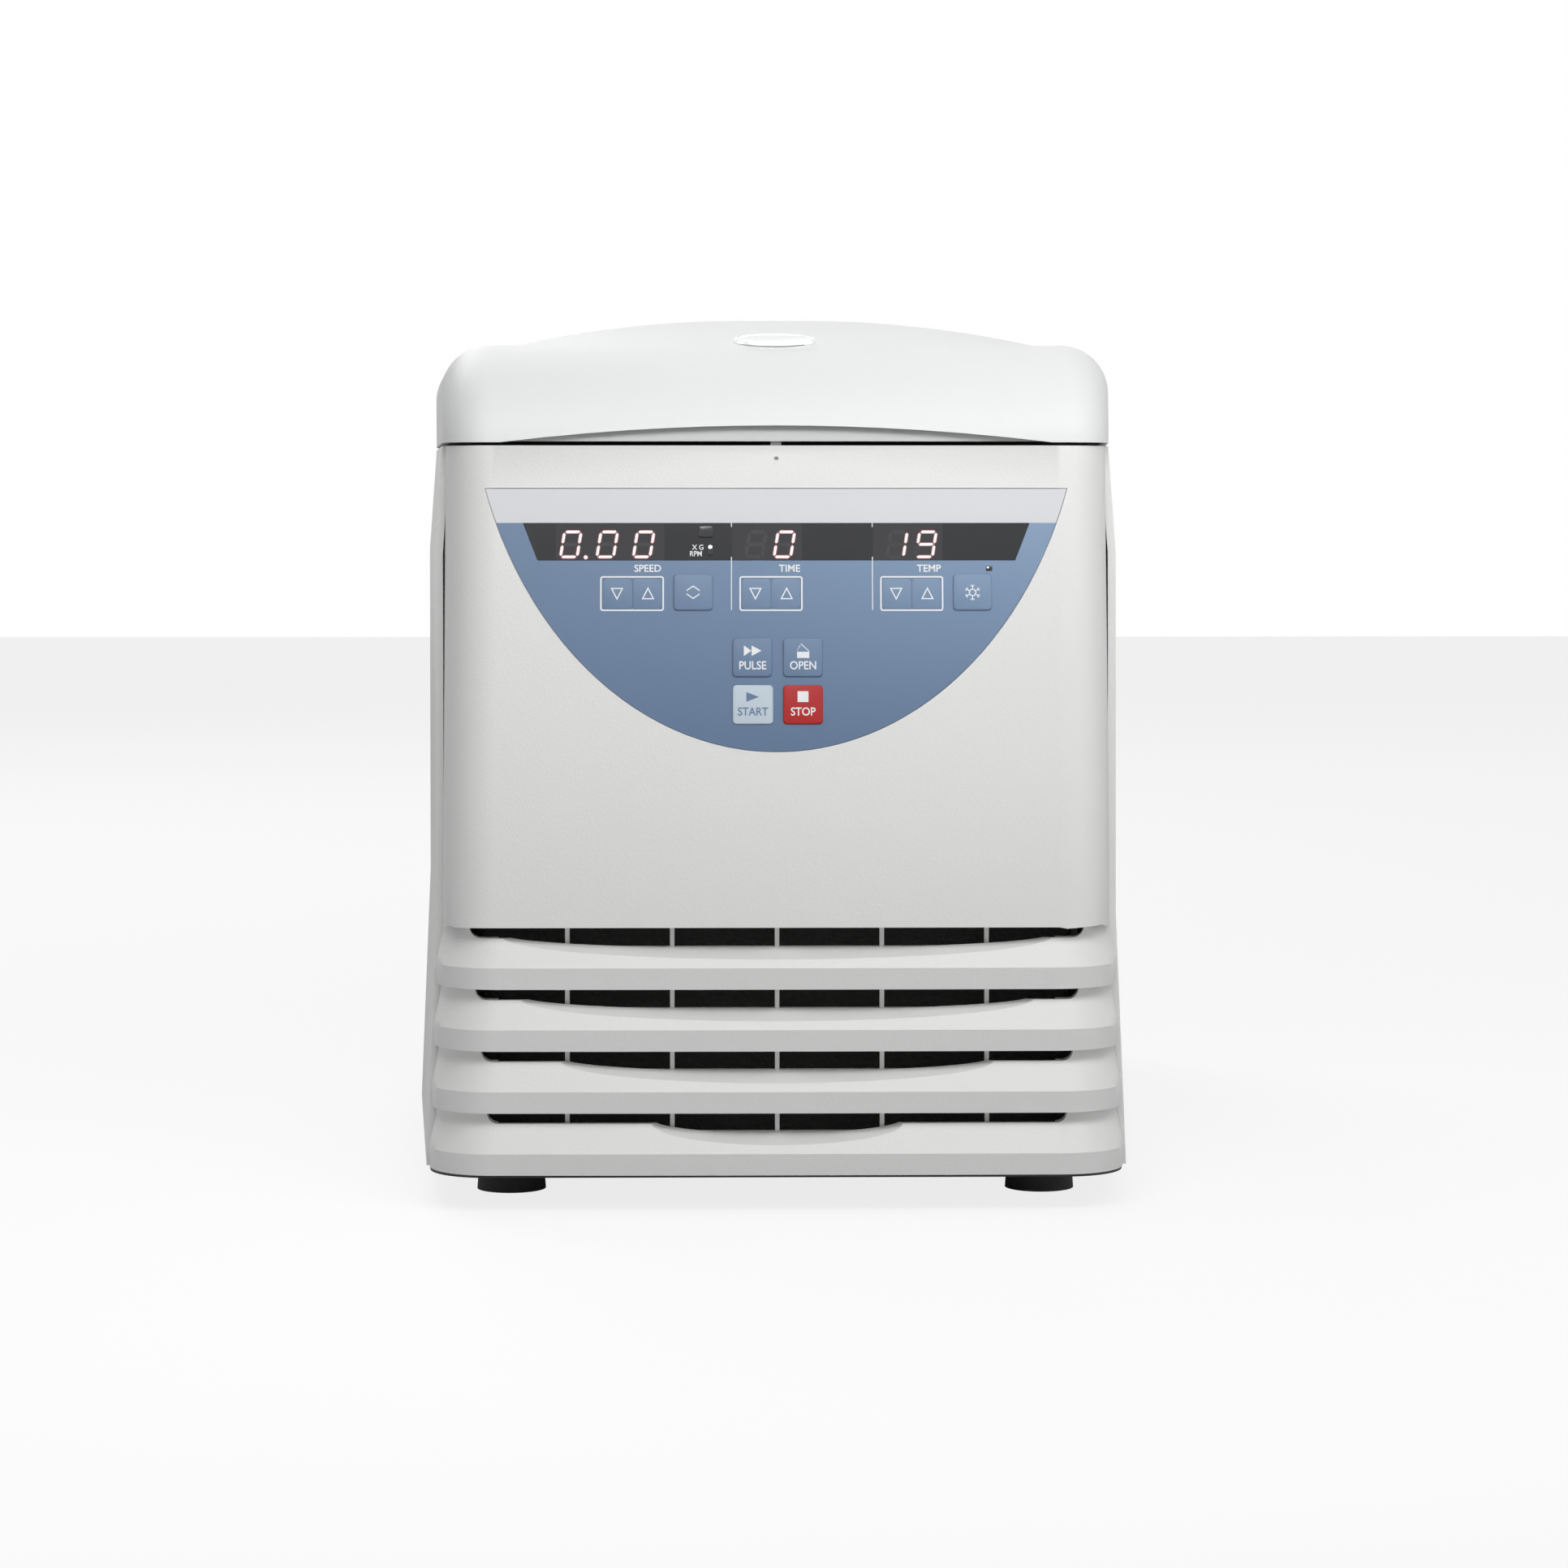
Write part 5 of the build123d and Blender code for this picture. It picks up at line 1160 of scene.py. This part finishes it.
@dataclass
class Rear:
    """Screws of the rear panel and the marks on the power switch."""

    panel_y: float = 222.0
    screws: tuple[tuple[float, float], ...] = (
        (-106.0, 28.0),
        (106.0, 28.0),
        (-106.0, 152.0),
        (106.0, 152.0),
        (-106.0, 276.0),
        (106.0, 276.0),
        (0.0, 276.0),
    )
    head_radius: float = 3.1
    head_rise: float = 1.5
    head_sink: float = 0.4
    head_steps: int = 6
    head_fullness: float = 0.6
    cross_bar: tuple[float, float] = (2.9, 0.75)
    cross_level: float = 1.38
    pivot: tuple[float, float] = (218.0, 60.0)
    crown: tuple[float, float] = (222.0, 60.0)
    rim_reach: tuple[float, float] = (223.0, 8.3)
    tilt: float = math.radians(-8.0)
    switch_x: float = 20.0

    def screw(self, name: str, x: float, z: float) -> None:
        """One cross-recessed pan head, its recess a flat black cross of painted shade.

        Args:
            name: The piece's name.
            x: Its middle, across.
            z: Its middle, upwards.
        """
        place = Matrix.Translation(Vector((x, self.panel_y, z)) * MM)
        facing = place @ Matrix.Rotation(-math.pi / 2, 4, "X")
        rings = [(self.head_radius, -self.head_sink)]
        for step in range(self.head_steps):
            angle = math.pi / 2 * step / self.head_steps
            radius = self.head_radius * math.cos(angle) ** self.head_fullness
            rings.append((radius, self.head_rise * math.sin(angle)))
        loops = [
            [Vector((px, py, rise)) * MM for px, py in Shape.circle(radius, 32)] for radius, rise in rings
        ]
        Maker.rings(Label(name, STEEL, "root", "steel"), loops, facing)
        # The recess is not cut: a thin black cross in the head is painted shade for it.
        bar = Shape.rounded_box(*self.cross_bar, 0.2, 2)
        cross = [bar, [(y, -x) for x, y in bar]]
        label = Label(f"{name}_recess_painted_shade", BLACK_MOULDING_AND_SHADE, "root", "black_plastic")
        Maker.prints(label, cross, self.cross_level, 0.06, facing)

    def mark_plane(self, way: int) -> Matrix:
        """Plane on one slope of the rocker as it stands.

        Args:
            way: 1 for the upper slope, -1 for the lower.

        Returns:
            The transform to the row frame.
        """
        turn = Matrix.Rotation(self.tilt, 2)
        pivot = Vector(self.pivot)
        crown = turn @ (Vector(self.crown) - pivot) + pivot
        rim = Vector((self.rim_reach[0], self.crown[1] + way * self.rim_reach[1]))
        edge = turn @ (rim - pivot) + pivot
        rise = (edge - crown).normalized() * way
        middle = (edge + crown) / 2
        across = Vector((-1.0, 0.0, 0.0))
        up = Vector((0.0, rise.x, rise.y))
        out = across.cross(up)
        turned = Matrix((across, up, out)).transposed().to_4x4()
        return Matrix.Translation(Vector((self.switch_x, middle.x, middle.y)) * MM) @ turned

    def build(self) -> None:
        """Builds the screws and the two switch marks."""
        for index, (x, z) in enumerate(self.screws):
            self.screw(f"rear_screw_{index + 1}", x, z)
        bar = [Shape.rounded_box(0.7, 3.4, 0.1, 2)]
        ring = Shape.stroke(Shape.circle(1.5, 28), 0.6, closed=True)
        for name, shapes, way in (("switch_on", bar, 1), ("switch_off", ring, -1)):
            plane = self.mark_plane(way)
            Maker.prints(Label(name, WHITE_INK, "rocker", "black_plastic"), shapes, -0.005, 0.03, plane)


@dataclass(frozen=True)
class Lamp:
    """One soft rectangular lamp: where it hangs, what it points at, its size and its power in watts."""

    name: str
    place: tuple[float, float, float]
    target: tuple[float, float, float]
    width: float
    height: float
    power: float

    def hang(self) -> None:
        """Puts the lamp into the scene."""
        light = bpy.data.lights.new(self.name, "AREA")
        light.shape = "RECTANGLE"
        light.size, light.size_y = self.width, self.height
        light.energy = self.power
        made = bpy.data.objects.new(self.name, light)
        made.location = self.place
        made.rotation_mode = "QUATERNION"
        made.rotation_quaternion = (Vector(self.target) - Vector(self.place)).to_track_quat("-Z", "Y")
        bpy.context.scene.collection.objects.link(made)


@dataclass
class Studio:
    """Pale floor, soft lamps and the camera."""

    camera_place: tuple[float, float, float] = (-0.020, -1.725, 0.2614)
    heading: float = math.radians(0.852)
    pitch: float = math.radians(3.97)
    lens: float = 95.29
    sensor: float = 36.0
    floor_colour: Colour = (0.70, 0.70, 0.71)
    floor_half: float = 6.0
    floor_glow: float = 1.09
    glow_share: float = 0.75
    soft_light: float = 0.11
    lamps: tuple[Lamp, ...] = (
        Lamp("key_lamp", (0.12, -0.62, 0.64), (0.0, -0.19, 0.34), 0.9, 0.28, 3.5),
        Lamp("top_lamp", (0.0, -0.1, 1.5), (0.0, -0.05, 0.2), 1.4, 1.2, 1.7),
        Lamp("left_lamp", (-1.5, -0.9, 0.8), (0.0, 0.0, 0.15), 0.9, 1.2, 1.4),
        Lamp("right_lamp", (1.4, -1.0, 0.7), (0.0, 0.0, 0.15), 0.9, 1.2, 3.6),
        Lamp("back_lamp", (-0.9, 1.7, 1.9), (0.0, 0.1, 0.15), 1.4, 0.8, 22.0),
    )

    def build(self) -> None:
        """Sets the stage."""
        self.floor()
        self.world()
        for lamp in self.lamps:
            lamp.hang()
        self.camera()

    def floor(self) -> None:
        """Plain pale floor that fades into the background for the camera and keeps a soft shadow."""
        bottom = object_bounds()[0].z
        shape = bmesh.new()
        half = self.floor_half
        corners = ((-half, -half), (half, -half), (half, half), (-half, half))
        shape.faces.new([shape.verts.new((*corner, bottom)) for corner in corners])
        mesh = bpy.data.meshes.new("floor")
        shape.to_mesh(mesh)
        shape.free()
        made = bpy.data.objects.new("floor", mesh)
        bpy.context.scene.collection.objects.link(made)
        surface = bpy.data.materials.new("floor_paint")
        surface.use_nodes = True
        shader = surface.node_tree.nodes["Principled BSDF"]
        shader.inputs["Base Color"].default_value = (*self.floor_colour, 1.0)
        shader.inputs["Roughness"].default_value = 0.7
        graph = Graph(surface.node_tree)
        glow = graph.add("ShaderNodeEmission", {"Strength": self.floor_glow})
        rays = graph.add("ShaderNodeLightPath")
        share = graph.math("MULTIPLY", self.glow_share)
        blend = graph.add("ShaderNodeMixShader")
        graph.link(
            (rays, "Is Camera Ray", share, 0),
            (share, 0, blend, 0),
            (shader, 0, blend, 1),
            (glow, 0, blend, 2),
            (blend, 0, surface.node_tree.nodes["Material Output"], "Surface"),
        )
        mesh.materials.append(surface)
        made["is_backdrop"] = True

    def world(self) -> None:
        """Even soft light all round, seen as white by the camera and in reflections."""
        sky = bpy.data.worlds.new("studio")
        sky.use_nodes = True
        back = sky.node_tree.nodes["Background"]
        back.inputs["Color"].default_value = (1.0, 1.0, 1.0, 1.0)
        graph = Graph(sky.node_tree)
        rays = graph.add("ShaderNodeLightPath")
        seen = graph.math("MAXIMUM")
        every = graph.math("MAXIMUM")
        level = graph.add("ShaderNodeMapRange", {"To Min": self.soft_light, "To Max": 1.0})
        graph.link(
            (rays, "Is Camera Ray", seen, 0),
            (rays, "Is Glossy Ray", seen, 1),
            (seen, 0, every, 0),
            (rays, "Is Transmission Ray", every, 1),
            (every, 0, level, "Value"),
            (level, "Result", back, "Strength"),
        )
        bpy.context.scene.world = sky

    def camera(self) -> None:
        """Camera at the photographed angle."""
        data = bpy.data.cameras.new("camera")
        data.sensor_width = self.sensor
        data.lens = self.lens
        made = bpy.data.objects.new("camera", data)
        made.location = self.camera_place
        made.rotation_euler = (math.pi / 2 - self.pitch, 0.0, -self.heading)
        bpy.context.scene.collection.objects.link(made)
        bpy.context.scene.camera = made
        bpy.context.scene.view_settings.view_transform = "Standard"


def main() -> None:
    """Builds everything in order."""
    logging.basicConfig(level=logging.INFO, format="%(name)s %(message)s")
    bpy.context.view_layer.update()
    Casing().dress()
    Keypad().build()
    Display().build()
    Badge().build()
    Rear().build()
    Studio().build()


if __name__ == "__main__":
    main()
